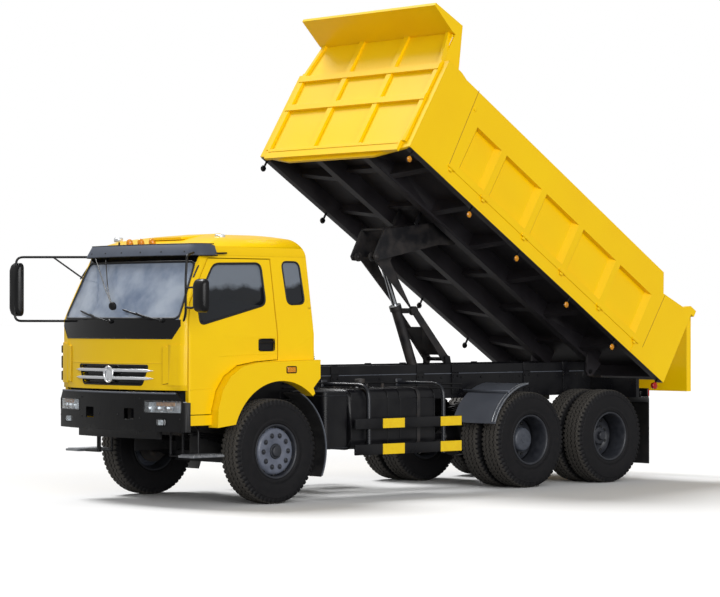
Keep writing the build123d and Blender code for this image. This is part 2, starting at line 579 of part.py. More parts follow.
# ---------------------------------------------------------------- cab form
def cab_form(inset, bottom):
    """The whole cab as one closed form, pulled in by a wall thickness."""
    nose, half, corner = CAB_NOSE - inset, CAB_HALF - inset, CORNER_R - inset
    rear = CAB_REAR - 700
    low = nose_block(nose, half, corner, bottom, RAKE_Z, rear)
    rise = ROOF_Z - RAKE_Z
    slant = hypot(rise, RAKE * rise)
    mid = extrude(nose_outline(nose, half, corner, RAKE_Z, rear), amount=slant,
                  dir=(-RAKE * rise / slant, 0, rise / slant))
    top = Pos(-RAKE * rise, 0, 0) * nose_block(nose, half, corner, ROOF_Z, ROOF_TOP + 10, rear)
    block = low + mid + top
    lean = (CAB_HALF - ROOF_HALF) / (ROOF_Z - BELT_Z)
    h, r, t = half, ROOF_HALF - inset, ROOF_TOP - inset
    right = [Line((0, -h, bottom), (0, -h, BELT_Z)), Line((0, -h, BELT_Z), (0, -r, ROOF_Z)),
             ThreePointArc((0, -r, ROOF_Z), (0, -r + 38, t - 115), (0, -r + 150, t - 58)),
             ThreePointArc((0, -r + 150, t - 58), (0, 0, t), (0, r - 150, t - 58))]
    left = [ThreePointArc((0, r - 150, t - 58), (0, r - 38, t - 115), (0, r, ROOF_Z)),
            Line((0, r, ROOF_Z), (0, h, BELT_Z)), Line((0, h, BELT_Z), (0, h, bottom)),
            Line((0, h, bottom), (0, -h, bottom))]
    front_view = extrude(Pos(-3000, 0, 0) * make_face(right + left), amount=5000, dir=(1, 0, 0))
    back, peak = CAB_REAR + inset, ROOF_TOP - inset
    profile = [Line((back, 0, bottom), (2000, 0, bottom)), Line((2000, 0, bottom), (2000, 0, ROOF_Z)),
               Line((2000, 0, ROOF_Z), (985 - inset, 0, ROOF_Z)),
               ThreePointArc((985 - inset, 0, ROOF_Z), (520, 0, peak - 70), (-130, 0, peak)),
               ThreePointArc((-130, 0, peak), (back + 110, 0, peak - 75), (back, 0, ROOF_Z)),
               Line((back, 0, ROOF_Z), (back, 0, bottom))]
    side_view = extrude(Pos(0, -1500, 0) * make_face(profile), amount=3000, dir=(0, 1, 0))
    return block & front_view & side_view


outer_form = cab_form(0, CAB_LOW)
inner_form = cab_form(CAB_WALL, CAB_LOW - 10)
shell = outer_form - inner_form
LONG = 3000.0

# outlines in side view: (x, z)
FENDER_TOP = ((794, 808), (787, 984), (729, 1181), (628, 1322), (455, 1429), (223, 1465), (-600, 1484))
DOOR_OUTLINE = ((DOOR_FRONT, DOOR_Z0), (DOOR_FRONT, 1810), (1030, 2075), (740, DOOR_Z1),
                (DOOR_REAR, DOOR_Z1), (DOOR_REAR, 1484 + GAP), (223, 1465 + GAP), (460, 1429 + GAP),
                (634, 1322 + GAP), (737, 1181 + GAP), (796, 984), (800, DOOR_Z0))
DOOR_GLASS = ((935, 2090), (672, 2478), (40, 2490), (25, 2060), (925, 1850))
QUARTER_GLASS = ((-250, 2510), (-490, 2510), (-515, 2070), (-275, 2060))


def region(points, y0=-LONG, y1=LONG):
    """Everything inside an outline in side view."""
    return side_plate(points, y0, y1)


def rounded_region(points, radius, y0=-LONG, y1=LONG):
    outline = make_face(Polyline(*[(x, y0, z) for x, z in points], close=True))
    return extrude(fillet(outline.vertices(), radius), amount=y1 - y0, dir=(0, 1, 0))


PILLAR_LINE = ((DOOR_FRONT + GAP, 0), (DOOR_FRONT + GAP, 1812), (1040, 2080), (748, ROOF_Z))
front_zone = region(PILLAR_LINE + ((3000, ROOF_Z), (3000, 0)))
side_zone = region(PILLAR_LINE + ((-3000, ROOF_Z), (-3000, 0)))
roof_zone = box(-LONG, LONG, -LONG, LONG, ROOF_Z, LONG)
rear_zone = box(-LONG, CAB_REAR + CAB_WALL, -CAB_HALF + CAB_WALL, CAB_HALF - CAB_WALL, 0, ROOF_Z)

# windscreen opening and black band in front view: (y, z)
SCREEN_LOW, SCREEN_TOP = 1905.0, 2510.0
screen_cut = cross_plate([(-965, SCREEN_LOW), (965, SCREEN_LOW), (890, SCREEN_TOP), (-890, SCREEN_TOP)],
                         500, 2000)
band_cut = cross_plate([(-880, BAND_Z0), (880, BAND_Z0), (985, SCREEN_LOW - 60), (985, SCREEN_LOW),
                        (-985, SCREEN_LOW), (-985, SCREEN_LOW - 60)], 1000, 2000)
GRILLE = ((-490, 1235), (490, 1235), (575, 1440), (-575, 1440))
grille_cut = cross_plate(GRILLE, 1000, 2000)

front_shell = shell & front_zone


def front_panel():
    """Front skin with its corners, windscreen frame, grille opening and corner deflectors."""
    panel = front_shell - screen_cut - band_cut - grille_cut
    panel -= box(0, 2000, -LONG, LONG, 0, PANEL_Z0)
    deflector = nose_block(CAB_NOSE + 14, CAB_HALF + 6, CORNER_R + 6, 1240, 1650, 900)
    deflector -= nose_block(CAB_NOSE, CAB_HALF, CORNER_R, 1239, 1651, 899)
    deflector &= box(1100, 2000, 850, 1045, 1240, 1650)
    return panel + both_sides(deflector)


def cowl_band():
    return front_shell & band_cut


def cab_glazing():
    """Windscreen, quarter windows and rear window in the walls' outer half."""
    pane = (cab_form(6, CAB_LOW) - cab_form(18, CAB_LOW)) & front_zone
    screen = pane & cross_plate([(-965, SCREEN_LOW), (965, SCREEN_LOW), (890, SCREEN_TOP),
                                 (-890, SCREEN_TOP)], 500, 2000)
    walls = cab_form(8, CAB_LOW) - cab_form(16, CAB_LOW)
    quarters = walls & rounded_region(QUARTER_GLASS, 45) & \
        (box(-LONG, LONG, 500, LONG, 0, LONG) + box(-LONG, LONG, -LONG, -500, 0, LONG))
    rear = walls & box(-LONG, 0, -380, 380, 2060, 2400)
    return screen + quarters + rear


def rear_wall():
    window = box(-LONG, 0, -380, 380, 2060, 2400)
    wall = shell & rear_zone & box(-LONG, LONG, -LONG, LONG, FLOOR_Z1, ROOF_Z)
    return wall - window


def cab_side(sign):
    """Quarter panel, roof rail, sill and the frame round one door."""
    half = box(-LONG, LONG, 0, sign * LONG, CAB_LOW, ROOF_Z) if sign > 0 else \
        box(-LONG, LONG, sign * LONG, 0, CAB_LOW, ROOF_Z)
    door_hole = region([(DOOR_FRONT + GAP, DOOR_Z0 - GAP), (DOOR_FRONT + GAP, 1812), (1040, 2080),
                        (744, DOOR_Z1 + GAP), (DOOR_REAR - 12, DOOR_Z1 + GAP), (DOOR_REAR - 12, 1484),
                        (223, 1465), (455, 1429), (628, 1322), (729, 1181), (787, 984), (794, DOOR_Z0 - GAP)])
    under = region([(-3000, 0), (-3000, 1484), (CAB_REAR, 1484), (223, 1465), (455, 1429), (628, 1322),
                    (729, 1181), (787, 984), (794, 808), (794, 0)])
    side = (shell & side_zone & half) - rear_zone - door_hole - under
    return side - rounded_region(QUARTER_GLASS, 45)


def door_panel(sign):
    """A door as thick as the cab wall, with its window cut and a handle recess."""
    half = box(-LONG, LONG, 500, LONG, 0, LONG) if sign > 0 else box(-LONG, LONG, -LONG, -500, 0, LONG)
    panel = shell & region(DOOR_OUTLINE) & half
    panel -= rounded_region(DOOR_GLASS, 40)
    recess = box(-58, 167, CAB_HALF - 14, CAB_HALF + 5, 1576, 1710)
    return panel - (recess if sign > 0 else mirror(recess, Plane.XZ))


def door_glass(sign):
    half = box(-LONG, LONG, 500, LONG, 0, LONG) if sign > 0 else box(-LONG, LONG, -LONG, -500, 0, LONG)
    walls = cab_form(14, CAB_LOW) - cab_form(20, CAB_LOW)
    return walls & rounded_region(DOOR_GLASS, 40) & half


def front_fenders():
    """The front wheel arches, from the cab's inner wall face to their flared face."""
    y = CAB_HALF - CAB_WALL
    edge = [Line((557, y, 835), (794, y, 808)), Polyline(*[(x, y, z) for x, z in FENDER_TOP]),
            Polyline((-600, y, 1484), (-600, y, 1291), (-501, y, 1190), (-524, y, 1133), (-494, y, 1105)),
            ThreePointArc((-494, y, 1105), (-30, y, 1270), (557, y, 835))]
    return both_sides(extrude(make_face(edge), amount=FENDER_OUT - y, dir=(0, 1, 0)))


def cab_floor():
    """Floor with its engine tunnel, step wells, firewall foot and tilt arms."""
    inner_half = CAB_HALF - CAB_WALL
    tunnel_half, tunnel_top = 400.0, 1560.0
    slab = (inner_form & box(CAB_REAR, 2000, -LONG, LONG, FLOOR_Z0, FLOOR_Z1))
    slab += outer_form & box(CAB_REAR, CAB_REAR + CAB_WALL, -inner_half, inner_half, FLOOR_Z0, FLOOR_Z1)
    slab -= box(CAB_REAR - 1, 885, -tunnel_half, tunnel_half, FLOOR_Z0 - 1, FLOOR_Z1 + 1)
    tunnel = box(CAB_REAR + CAB_WALL, 900, -tunnel_half - 15, tunnel_half + 15, FLOOR_Z1, tunnel_top)
    tunnel -= box(CAB_REAR, 885, -tunnel_half, tunnel_half, FLOOR_Z1 - 1, tunnel_top - 15)
    edge = inner_half - GAP - 2
    slab -= both_sides(box(DOOR_REAR - 20, DOOR_FRONT + GAP, edge, inner_half + 1, FLOOR_Z0 - 1, FLOOR_Z1 + 1)
                       + box(1040, DOOR_FRONT + GAP, edge - 16, inner_half + 1, FLOOR_Z0 - 1, FLOOR_Z1 + 1))
    well = box(640, 1040, 620, edge, 885, FLOOR_Z0) - box(652, 1028, 632, edge + 1, 897, FLOOR_Z0 + 1)
    well += box(810, 1040, edge, inner_half, 885, 897)
    opening = box(652, 1028, 632, edge + 1, FLOOR_Z0 - 1, FLOOR_Z1 + 1)
    arm = side_plate([(TILT_X - 18, TILT_Z - 18), (TILT_X + 18, TILT_Z + 18),
                      (TILT_X + 36 + TILT_Z - FLOOR_Z0, FLOOR_Z0), (TILT_X - 36 + TILT_Z - FLOOR_Z0, FLOOR_Z0)],
                     RAIL_OUT + 26, RAIL_OUT + 50)
    arm += rod_y(TILT_X, TILT_Z, RAIL_OUT + 26, RAIL_OUT + 50, 25)
    arm -= rod_y(TILT_X, TILT_Z, RAIL_OUT, RAIL_OUT + 80, 16 + SEAT)
    seat_base = box(-20, 340, 470, 830, FLOOR_Z1, FLOOR_Z1 + 200)
    return slab + tunnel + both_sides(well + arm + seat_base) - both_sides(opening)


def cab_roof():
    return shell & roof_zone


def visor():
    """A peaked visor above the windscreen, closed to the roof by its brackets."""
    at_roof = CAB_NOSE - RAKE * (ROOF_Z - RAKE_Z)

    def skin(grow, z0, z1):
        slant = hypot(z1 - z0, 70)
        base = nose_outline(at_roof + grow, ROOF_HALF + grow, CORNER_R + grow / 2, z0)
        return extrude(base, amount=slant, dir=(-70 / slant, 0, (z1 - z0) / slant))
    solid = skin(95, ROOF_Z + 10, ROOF_Z + 130) - skin(83, ROOF_Z + 9, ROOF_Z + 131)
    solid &= box(500, 2000, -LONG, LONG, 0, LONG)
    brackets = None
    for y in (-700.0, 0.0, 700.0):
        bracket = box(600, at_roof + 60, y - 15, y + 15, ROOF_Z + 60, ROOF_Z + 80)
        brackets = bracket if brackets is None else brackets + bracket
    ends = both_sides(box(510, 560, 800, ROOF_HALF + 90, ROOF_Z + 30, ROOF_Z + 50))
    joined = solid + ((brackets + ends) & (skin(90, ROOF_Z + 10, ROOF_Z + 130)))
    return joined - outer_form


def roof_lamps():
    """Three amber lamps over the visor and a clear lamp at each end, on the roof."""
    lamps = None
    for y in (-190.0, 0.0, 190.0):
        lamp = Pos(760, y, 2700) * Cylinder(38, 90)
        lamps = lamp if lamps is None else lamps + lamp
    for y in (-420.0, 420.0):
        lamps += box(740, 800, y - 45, y + 45, 2640, 2740)
    return lamps - outer_form


def grille():
    """Recessed backing, two bars with pointed tips and a plain oval boss."""
    backing = (cab_form(CAB_WALL - 10, CAB_LOW) - cab_form(CAB_WALL, CAB_LOW)) & grille_cut & front_zone
    bars = None
    for z in (1305.0, 1385.0):
        tip = 660.0
        bar = cross_plate([(-tip, z), (-560, z - 17), (560, z - 17), (tip, z), (560, z + 17), (-560, z + 17)],
                          1000, 2000)
        bars = bar if bars is None else bars + bar
    proud = nose_block(CAB_NOSE + 16, CAB_HALF, CORNER_R, 1200, 1500, 900)
    bars &= proud - nose_block(CAB_NOSE, CAB_HALF, CORNER_R, 1199, 1501, 899)
    boss = Plane(origin=(CAB_NOSE - CAB_WALL + 10, 0, 1342), z_dir=(1, 0, 0)) * extrude(
        Ellipse(70, 88), amount=CAB_WALL + 24)
    posts = None
    for y in (-300.0, 300.0):
        post = box(1000, CAB_NOSE + 10, y - 12, y + 12, 1300, 1390) & \
            (nose_block(CAB_NOSE + 10, CAB_HALF, CORNER_R, 1200, 1500, 900) - cab_form(CAB_WALL - 10, CAB_LOW))
        posts = post if posts is None else posts + post
    return backing + bars + boss + posts


def mirrors():
    """Tube frames out from the pillars, cut where they meet the cab and its visor."""
    frame = rod((850, 905, 2572), (1440, 1440, 2572), 14) + rod((1440, 1440, 2572), (1460, 1440, 1890), 14)
    frame += rod((1460, 1440, 1890), (1120, 1010, 1890), 14)
    frame += rod((1150, 1178, 2572), (905, 935, 2330), 10)
    frame += Pos(1440, 1440, 2572) * Sphere(14) + Pos(1460, 1440, 1890) * Sphere(14)
    return frame - outer_form - visor()


def mirror_heads():
    left = box(1395, 1445, 1350, 1560, 1985, 2300)
    left = fillet(left.edges().filter_by(Axis.X), 40)
    right = box(1395, 1445, -1560, -1350, 1940, 2510)
    right = fillet(right.edges().filter_by(Axis.X), 40)
    return left, right


def cab_seats():
    """Driver's seat, passenger bench and the bunk behind them."""
    seats = None
    for y0, y1 in ((425.0, 870.0), (-870.0, -425.0)):
        base = box(-60, 380, y0, y1, FLOOR_Z1 + 200, FLOOR_Z1 + 330)
        back = side_plate([(-150, FLOOR_Z1 + 260), (-30, FLOOR_Z1 + 335), (-110, FLOOR_Z1 + 900),
                           (-230, FLOOR_Z1 + 900)], y0, y1)
        seat = base + back
        seats = seat if seats is None else seats + seat
    return seats


def dashboard():
    """Dashboard under the windscreen, with the steering column and wheel."""
    dash = side_plate([(960, 1480), (1040, 1480), (1200, 1780), (1200, 1880), (1020, 1900), (930, 1760)],
                      -960, 960)
    dash &= inner_form
    wheel = Pos(700, 560, 1930) * Rot(0, -35, 0) * Torus(215, 14)
    spokes = Pos(700, 560, 1930) * Rot(0, -35, 0) * (Box(40, 420, 12) + Cylinder(50, 50))
    column = rod((700, 560, 1930), (960, 560, 1600), 30)
    return dash + wheel + spokes + column


save(front_panel(), "front_panel")
save(cowl_band(), "cowl_band")
save(cab_glazing(), "cab_glazing")
save(rear_wall(), "cab_rear_wall")
for name, sign in (("left", 1), ("right", -1)):
    save(cab_side(sign), f"cab_side_{name}")
    save(door_panel(sign), f"door_{name}")
    save(door_glass(sign), f"door_glass_{name}")
save(front_fenders(), "front_fenders")
save(cab_floor(), "cab_floor")
save(cab_roof(), "cab_roof")
save(visor(), "sun_visor")
save(roof_lamps(), "roof_lamps")
save(grille(), "grille")
left_head, right_head = mirror_heads()
save(both_sides(mirrors()) + left_head + right_head, "mirrors")
save(cab_seats(), "seats")
save(dashboard(), "dashboard")

# ---------------------------------------------------------------- bed
POCKETS = tuple(zip((690.0,) + RIB_STATIONS, RIB_STATIONS + (4230.0,)))
POCKET_V0, POCKET_V1 = 230.0, 770.0
RIB_W, RIB_BEVEL = 90.0, 60.0
SHEET_IN = BED_HALF - BED_WALL
SIDE_OUTLINE = ((0, 0), (BED_L, 0), (BED_L, BED_H), (4700, BED_H), (4600, 1115), (690, 1115), (560, 900),
                (156, 957), (60, GATE_V + 40), (GATE_U - 36, GATE_V + 40), (GATE_U - 36, GATE_V - 40),
                (0, GATE_V - 40))


def pocket(u0, u1):
    """A sunk panel between two ribs, its ends sloping inwards."""
    depth = BED_WALL - BED_SHEET
    face = flat_plate([(u0 + RIB_W / 2, BED_HALF + 1), (u1 - RIB_W / 2, BED_HALF + 1),
                       (u1 - RIB_W / 2 - RIB_BEVEL, BED_HALF - depth), (u0 + RIB_W / 2 + RIB_BEVEL,
                                                                        BED_HALF - depth)],
                      POCKET_V0, POCKET_V1)
    return face


def bed_side():
    """One side wall: outline, sunk panels between the ribs and the ledge over the bottom rail."""
    wall = side_plate(SIDE_OUTLINE, SHEET_IN, BED_HALF)
    for u0, u1 in POCKETS:
        wall -= pocket(u0, u1)
    wall -= box(700, 4300, BED_HALF - 8, BED_HALF + 1, -1, 150)
    wall -= rod_y(GATE_U, GATE_V, SHEET_IN - 1, BED_HALF - 30, 16 + SEAT)
    return wall


def bed_underframe():
    """Floor sheet, sills, tapered cross members, hinge brackets and hoist bracket."""
    frame = box(0, BED_L - 30, -SHEET_IN, SHEET_IN, FLOOR_V, FLOOR_V + FLOOR_T)
    frame += both_sides(box(HINGE_U - 80, BED_L - 60, SILL_IN, SILL_OUT, 0, FLOOR_V))
    for u in BEAM_STATIONS:
        frame += box(u - 40, u + 40, -SILL_IN, SILL_IN, 130, FLOOR_V)
        frame += both_sides(cross_plate([(SILL_OUT, 30), (SHEET_IN, 120), (SHEET_IN, FLOOR_V),
                                         (SILL_OUT, FLOOR_V)], u - 40, u + 40))
    for u0, u1 in ((0, 70), (BED_L - 100, BED_L - 30)):
        frame += box(u0, u1, -SHEET_IN, SHEET_IN, 40, FLOOR_V)
    hanger = side_plate([(HINGE_U - 110, 20), (HINGE_U + 140, 20), (HINGE_U + 55, HINGE_V - 30),
                         (HINGE_U, HINGE_V - 60), (HINGE_U - 55, HINGE_V - 30)], SILL_OUT + 3, SILL_OUT + 30)
    hanger += box(HINGE_U - 110, HINGE_U + 140, SILL_OUT, SILL_OUT + 30, 20, 60)
    hanger -= rod_y(HINGE_U, HINGE_V, SILL_OUT, SILL_OUT + 31, 25 + SEAT)
    return frame + both_sides(hanger)


def level(point):
    """A hoist point carried back to the level bed: (u, v)."""
    a = radians(BED_ANGLE)
    dx, dz = point[0] - HINGE_X, point[1] - HINGE_Z
    return HINGE_U + dx * cos(a) + dz * sin(a), HINGE_V - dx * sin(a) + dz * cos(a)


PIN_A_U, PIN_A_V = level(PIN_A)
BRACKET_Y0, BRACKET_Y1 = 175.0, 200.0
TRI_Y0, TRI_Y1 = 105.0, 125.0
TENSION_Y0, TENSION_Y1 = 140.0, 160.0


def hoist_bracket():
    """Two hanging plates with the pins of the triangle arm and a front cross tube."""
    u, v = PIN_A_U, PIN_A_V
    plate = side_plate([(2950, 130), (3300, 130), (u + 20, v + 360), (u + 62, v + 345), (u + 66, v + 300),
                        (u + 45, v - 20), (u, v - 45), (u - 40, v - 25), (3160, -90), (2940, 60)],
                       BRACKET_Y0, BRACKET_Y1)
    plate += rod_y(u, v, TRI_Y0, BRACKET_Y1 + 12, 22)
    tie = rod_y(u + 42, v + 338, -BRACKET_Y1, BRACKET_Y1, 20)
    strut = box(3560, 3600, BRACKET_Y0, BRACKET_Y1, -80, 130)
    root = both_sides(box(2960, 3040, BRACKET_Y1, SILL_IN, 60, 130))
    return both_sides(plate + strut) + tie + root


def headboard():
    """Front wall with its ribs, chamfered foot and narrowing top."""
    sheet = cross_plate([(-700, -100), (700, -100), (1220, 0), (BED_HALF, 0), (BED_HALF, BED_H), (1130, BED_H),
                         (1040, 1530), (-1040, 1530), (-1130, BED_H), (-BED_HALF, BED_H), (-BED_HALF, 0),
                         (-1220, 0)], BED_L - 30, BED_L)
    sheet -= both_sides(box(BED_L - 31, BED_L + 1, SHEET_IN, BED_HALF + 1, -1, BED_H + 1))
    frame = None
    for v0, v1, half in ((-60, 66, 1100), (610, 690, SHEET_IN), (1016, 1096, SHEET_IN)):
        rib = cross_plate([(-half, v0), (half, v0), (half, v1), (-half, v1)], BED_L, BED_L + 38)
        frame = rib if frame is None else frame + rib
    for y in (-370.0, 370.0):
        frame += box(BED_L, BED_L + 30, y - 38, y + 38, 60, 1530)
    edge = both_sides(cross_plate([(1085, 66), (SHEET_IN, 66), (SHEET_IN, BED_H), (1130, BED_H), (1040, 1530),
                                   (990, 1530), (1085, BED_H)], BED_L, BED_L + 30))
    return sheet + frame + edge


CANOPY_HALF = 1075.0


def canopy():
    """Cab guard over the headboard, with a gusset down to each side wall."""
    roof = side_plate([(4860, 1530), (4960, 1530), (5330, 1612), (5330, 1645), (4860, 1678)],
                      -CANOPY_HALF, CANOPY_HALF)
    roof -= side_plate([(4850, 1545), (4960, 1545), (5310, 1622), (5310, 1632), (4850, 1664)],
                       -CANOPY_HALF + 14, CANOPY_HALF - 14)
    gusset = side_plate([(4610, BED_H), (BED_L - 30, BED_H), (BED_L - 30, 1530), (4860, 1530), (4860, 1678)],
                        CANOPY_HALF, CANOPY_HALF + 22)
    gusset += side_plate([(4860, 1530), (4960, 1530), (5330, 1612), (5330, 1645), (4860, 1678)],
                         CANOPY_HALF, CANOPY_HALF + 22)
    foot = box(4610, BED_L - 30, CANOPY_HALF, SHEET_IN, BED_H - 14, BED_H)
    return roof + both_sides(gusset + foot)


def bed_lamps():
    """Round marker lamps on short brackets under the side edges."""
    lamps = None
    for u in LAMP_STATIONS:
        stem = box(u - 10, u + 10, 1195, 1215, -80, 0)
        lamp = rod_y(u, -105, 1188, 1228, 38)
        lamps = stem + lamp if lamps is None else lamps + stem + lamp
    return both_sides(lamps)


def tailgate():
    """The gate hanging plumb from its top pins, modelled about the hinge."""
    x, z = bed_point(GATE_U, GATE_V)
    half = SHEET_IN - GAP
    inner = x + 12
    sheet = box(inner - 12, inner, -half, half, z - GATE_DROP, z - 30)
    for z0, z1 in ((0, 90), (430, 500), (GATE_DROP - 120, GATE_DROP - 30)):
        sheet += box(inner - GATE_T, inner - 12, -half, half, z - GATE_DROP + z0, z - GATE_DROP + z1)
    for y in (-half + 40, -380.0, 380.0, half - 40):
        sheet += box(inner - GATE_T, inner - 12, y - 40, y + 40, z - GATE_DROP, z - 30)
    arm = side_plate([(inner - GATE_T, z - 120), (inner, z - 120), (x + 30, z), (x, z + 32), (x - 40, z + 20)],
                     half - 30, half)
    return sheet + both_sides(arm) + both_sides(rod_y(x, z, half - 30, BED_HALF - 31, 16))


save(on_bed(bed_underframe()), "bed_underframe")
save(on_bed(hoist_bracket()), "hoist_bracket")
save(on_bed(bed_side()), "bed_side_left")
save(on_bed(mirror(bed_side(), Plane.XZ)), "bed_side_right")
save(on_bed(headboard() + canopy()), "headboard")
save(on_bed(bed_lamps()), "bed_lamps")
save(tailgate(), "tailgate")

# ---------------------------------------------------------------- hoist
CYL_R, ROD_R = 58.0, 32.0
BARREL_L, EYE_W = 965.0, 55.0


def linked_plate(points, radius, y0, y1):
    """A plate round a set of pins: an eye at each pin and the web between them."""
    web = side_plate(points, y0, y1)
    for x, z in points:
        web += rod_y(x, z, y0, y1, radius)
    return web


def triangle_arm():
    """Twin plates joined by the tube at the tension pin."""
    plate = linked_plate([PIN_A, PIN_B, PIN_C], 52, TRI_Y0, TRI_Y1)
    plate -= rod_y(*PIN_A, TRI_Y0 - 1, TRI_Y1 + 1, 22 + SEAT)
    return both_sides(plate) + rod_y(*PIN_C, -TRI_Y1, TRI_Y1, 30)


def tension_arm():
    """Twin plates tied by a web near the subframe pin."""
    span = hypot(PIN_C[0] - PIN_T[0], PIN_C[1] - PIN_T[1])
    lean = atan2(PIN_C[1] - PIN_T[1], PIN_C[0] - PIN_T[0])
    bar = side_plate([(0, -50), (span, -42), (span, 42), (0, 50)], TENSION_Y0, TENSION_Y1)
    bar += rod_y(0, 0, TENSION_Y0, TENSION_Y1, 50) + rod_y(span, 0, TENSION_Y0, TENSION_Y1, 52)
    bar -= rod_y(0, 0, TENSION_Y0 - 1, TENSION_Y1 + 1, 22 + SEAT)
    web = box(90, span - 230, -TENSION_Y0, TENSION_Y0, -30, -16)
    arm = both_sides(bar) + web
    return Pos(PIN_T[0], 0, PIN_T[1]) * Rot(0, -degrees(lean), 0) * arm


def on_cylinder(shape):
    """A piece modelled along +X from the base pin, laid along the raised cylinder."""
    lean = atan2(PIN_B[1] - PIN_E[1], PIN_B[0] - PIN_E[0])
    return Pos(PIN_E[0], 0, PIN_E[1]) * Rot(0, -degrees(lean), 0) * shape


def cylinder_barrel():
    tube = rod_x(0, 0, 55, BARREL_L, CYL_R) - rod_x(0, 0, 90, BARREL_L + 1, ROD_R + SEAT)
    collar = rod_x(0, 0, BARREL_L - 60, BARREL_L, CYL_R + 12) - rod_x(0, 0, BARREL_L - 61, BARREL_L + 1, CYL_R)
    eye = rod_y(0, 0, -60, 60, 62) - rod_y(0, 0, -61, 61, 30 + SEAT)
    return on_cylinder(tube + collar + eye)


def cylinder_rod():
    length = hypot(PIN_B[0] - PIN_E[0], PIN_B[1] - PIN_E[1])
    rod_bar = rod_x(0, 0, length - 640, length - 30, ROD_R)
    eye = rod_y(length, 0, -EYE_W / 2, EYE_W / 2, 48)
    pin = rod_y(length, 0, SEAT - TRI_Y0, TRI_Y0 - SEAT, 24)
    return on_cylinder(rod_bar + eye + pin)


save(triangle_arm(), "triangle_arm")
save(tension_arm(), "tension_arm")
save(cylinder_barrel(), "cylinder_barrel")
save(cylinder_rod(), "cylinder_rod")
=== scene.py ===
import json
from math import radians

import bmesh
import bpy
import numpy as np
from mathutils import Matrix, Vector


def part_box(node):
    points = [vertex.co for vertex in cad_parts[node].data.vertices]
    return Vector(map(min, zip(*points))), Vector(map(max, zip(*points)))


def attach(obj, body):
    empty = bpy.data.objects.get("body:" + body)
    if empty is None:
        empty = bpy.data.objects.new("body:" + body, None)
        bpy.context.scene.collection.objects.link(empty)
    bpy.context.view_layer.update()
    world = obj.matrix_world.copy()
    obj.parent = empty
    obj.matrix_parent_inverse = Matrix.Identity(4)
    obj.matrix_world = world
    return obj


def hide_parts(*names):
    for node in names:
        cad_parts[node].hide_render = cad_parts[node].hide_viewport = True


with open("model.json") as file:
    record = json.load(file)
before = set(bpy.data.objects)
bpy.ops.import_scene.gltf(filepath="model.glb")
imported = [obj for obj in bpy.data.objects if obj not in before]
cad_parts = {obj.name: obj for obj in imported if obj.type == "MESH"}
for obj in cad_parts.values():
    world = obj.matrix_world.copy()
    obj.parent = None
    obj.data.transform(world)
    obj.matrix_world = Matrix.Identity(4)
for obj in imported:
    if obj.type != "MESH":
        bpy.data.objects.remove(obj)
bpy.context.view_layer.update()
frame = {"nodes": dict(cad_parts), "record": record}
NODES = frame["nodes"]

# The truck stands along X with its nose at +X. Stations are counted in metres from the front
# axle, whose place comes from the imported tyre.
FRONT = sum(corner.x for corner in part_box("front_left_tyre")) / 2
WHEEL_Z = sum(corner.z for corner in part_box("front_left_tyre")) / 2
MIDDLE = sum(corner.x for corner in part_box("middle_left_tyre")) / 2
REAR = sum(corner.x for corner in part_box("rear_left_tyre")) / 2
TRACK = 1.012                 # middle of the outer tyres
TWIN = 0.330                  # between the middles of twin tyres
BED_ANGLE = radians(32.14)    # the raised bed
BED_HINGE = (FRONT - 5.550, 1.280)
BED_ORIGIN = (0.4398, -0.1252)    # the hinge in the level bed's own frame
SIDES = ((1, "left"), (-1, "right"))
MM = 0.001
BOW = 3.5                     # radius of the cab's front in plan
BOSS_Z = 1.342                # height of the oval boss in the grille
NUT_CIRCLE = 0.1675           # radius of the ring of wheel nuts
REAR_LAMP_Z = 1.0375
HEADLAMP_Z = 1.018
TREAD_Y = 0.957               # middle of an entry step
FRAME_Y = 0.430               # outer face of the chassis rails


def at(x, y, z):
    """A point at a station from the front axle."""
    return np.array([FRONT + x, y, z], float)


def on_bed(u, y, v):
    """A point of the level bed's frame, carried to the raised bed."""
    c, s = np.cos(BED_ANGLE), np.sin(BED_ANGLE)
    du, dv = u - BED_ORIGIN[0], v - BED_ORIGIN[1]
    return np.array([BED_HINGE[0] + du * c - dv * s, y, BED_HINGE[1] + du * s + dv * c])


# ---------------------------------------------------------------- shapes
def quads(rows, cols, wrap_rows=False, wrap_cols=False):
    """Faces of a grid of rows by cols points: each joins a point to its next in both directions."""
    r = np.arange(rows if wrap_rows else rows - 1)
    c = np.arange(cols if wrap_cols else cols - 1)
    r, c = np.meshgrid(r, c, indexing="ij")
    r2, c2 = (r + 1) % rows, (c + 1) % cols
    return np.stack([r * cols + c, r2 * cols + c, r2 * cols + c2, r * cols + c2], -1).reshape(-1, 4)


def joined(*shapes):
    """Several (points, faces) shapes as one."""
    points, faces, count = [], [], 0
    for p, f in shapes:
        points.append(p)
        faces.extend([tuple(int(i) + count for i in face) for face in f])
        count += len(p)
    return np.concatenate(points), faces


def mirrored(form):
    """The same form on the left and on the right."""
    return joined(form(1), form(-1))


def round_box(width, height, corner, steps=3):
    """Outline of a rounded rectangle: a corner arc at each of its four corners."""
    turn = np.linspace(0, np.pi / 2, steps + 1)
    arcs = []
    for n, (sx, sy) in enumerate(((1, 1), (-1, 1), (-1, -1), (1, -1))):
        a = turn + n * np.pi / 2
        arcs.append(np.stack([sx * (width / 2 - corner) + corner * np.cos(a),
                              sy * (height / 2 - corner) + corner * np.sin(a)], 1))
    return np.concatenate(arcs)


def ring(radius, sides=16):
    """Outline of a circle."""
    a = np.linspace(0, 2 * np.pi, sides, endpoint=False)
    return np.stack([radius * np.cos(a), radius * np.sin(a)], 1)


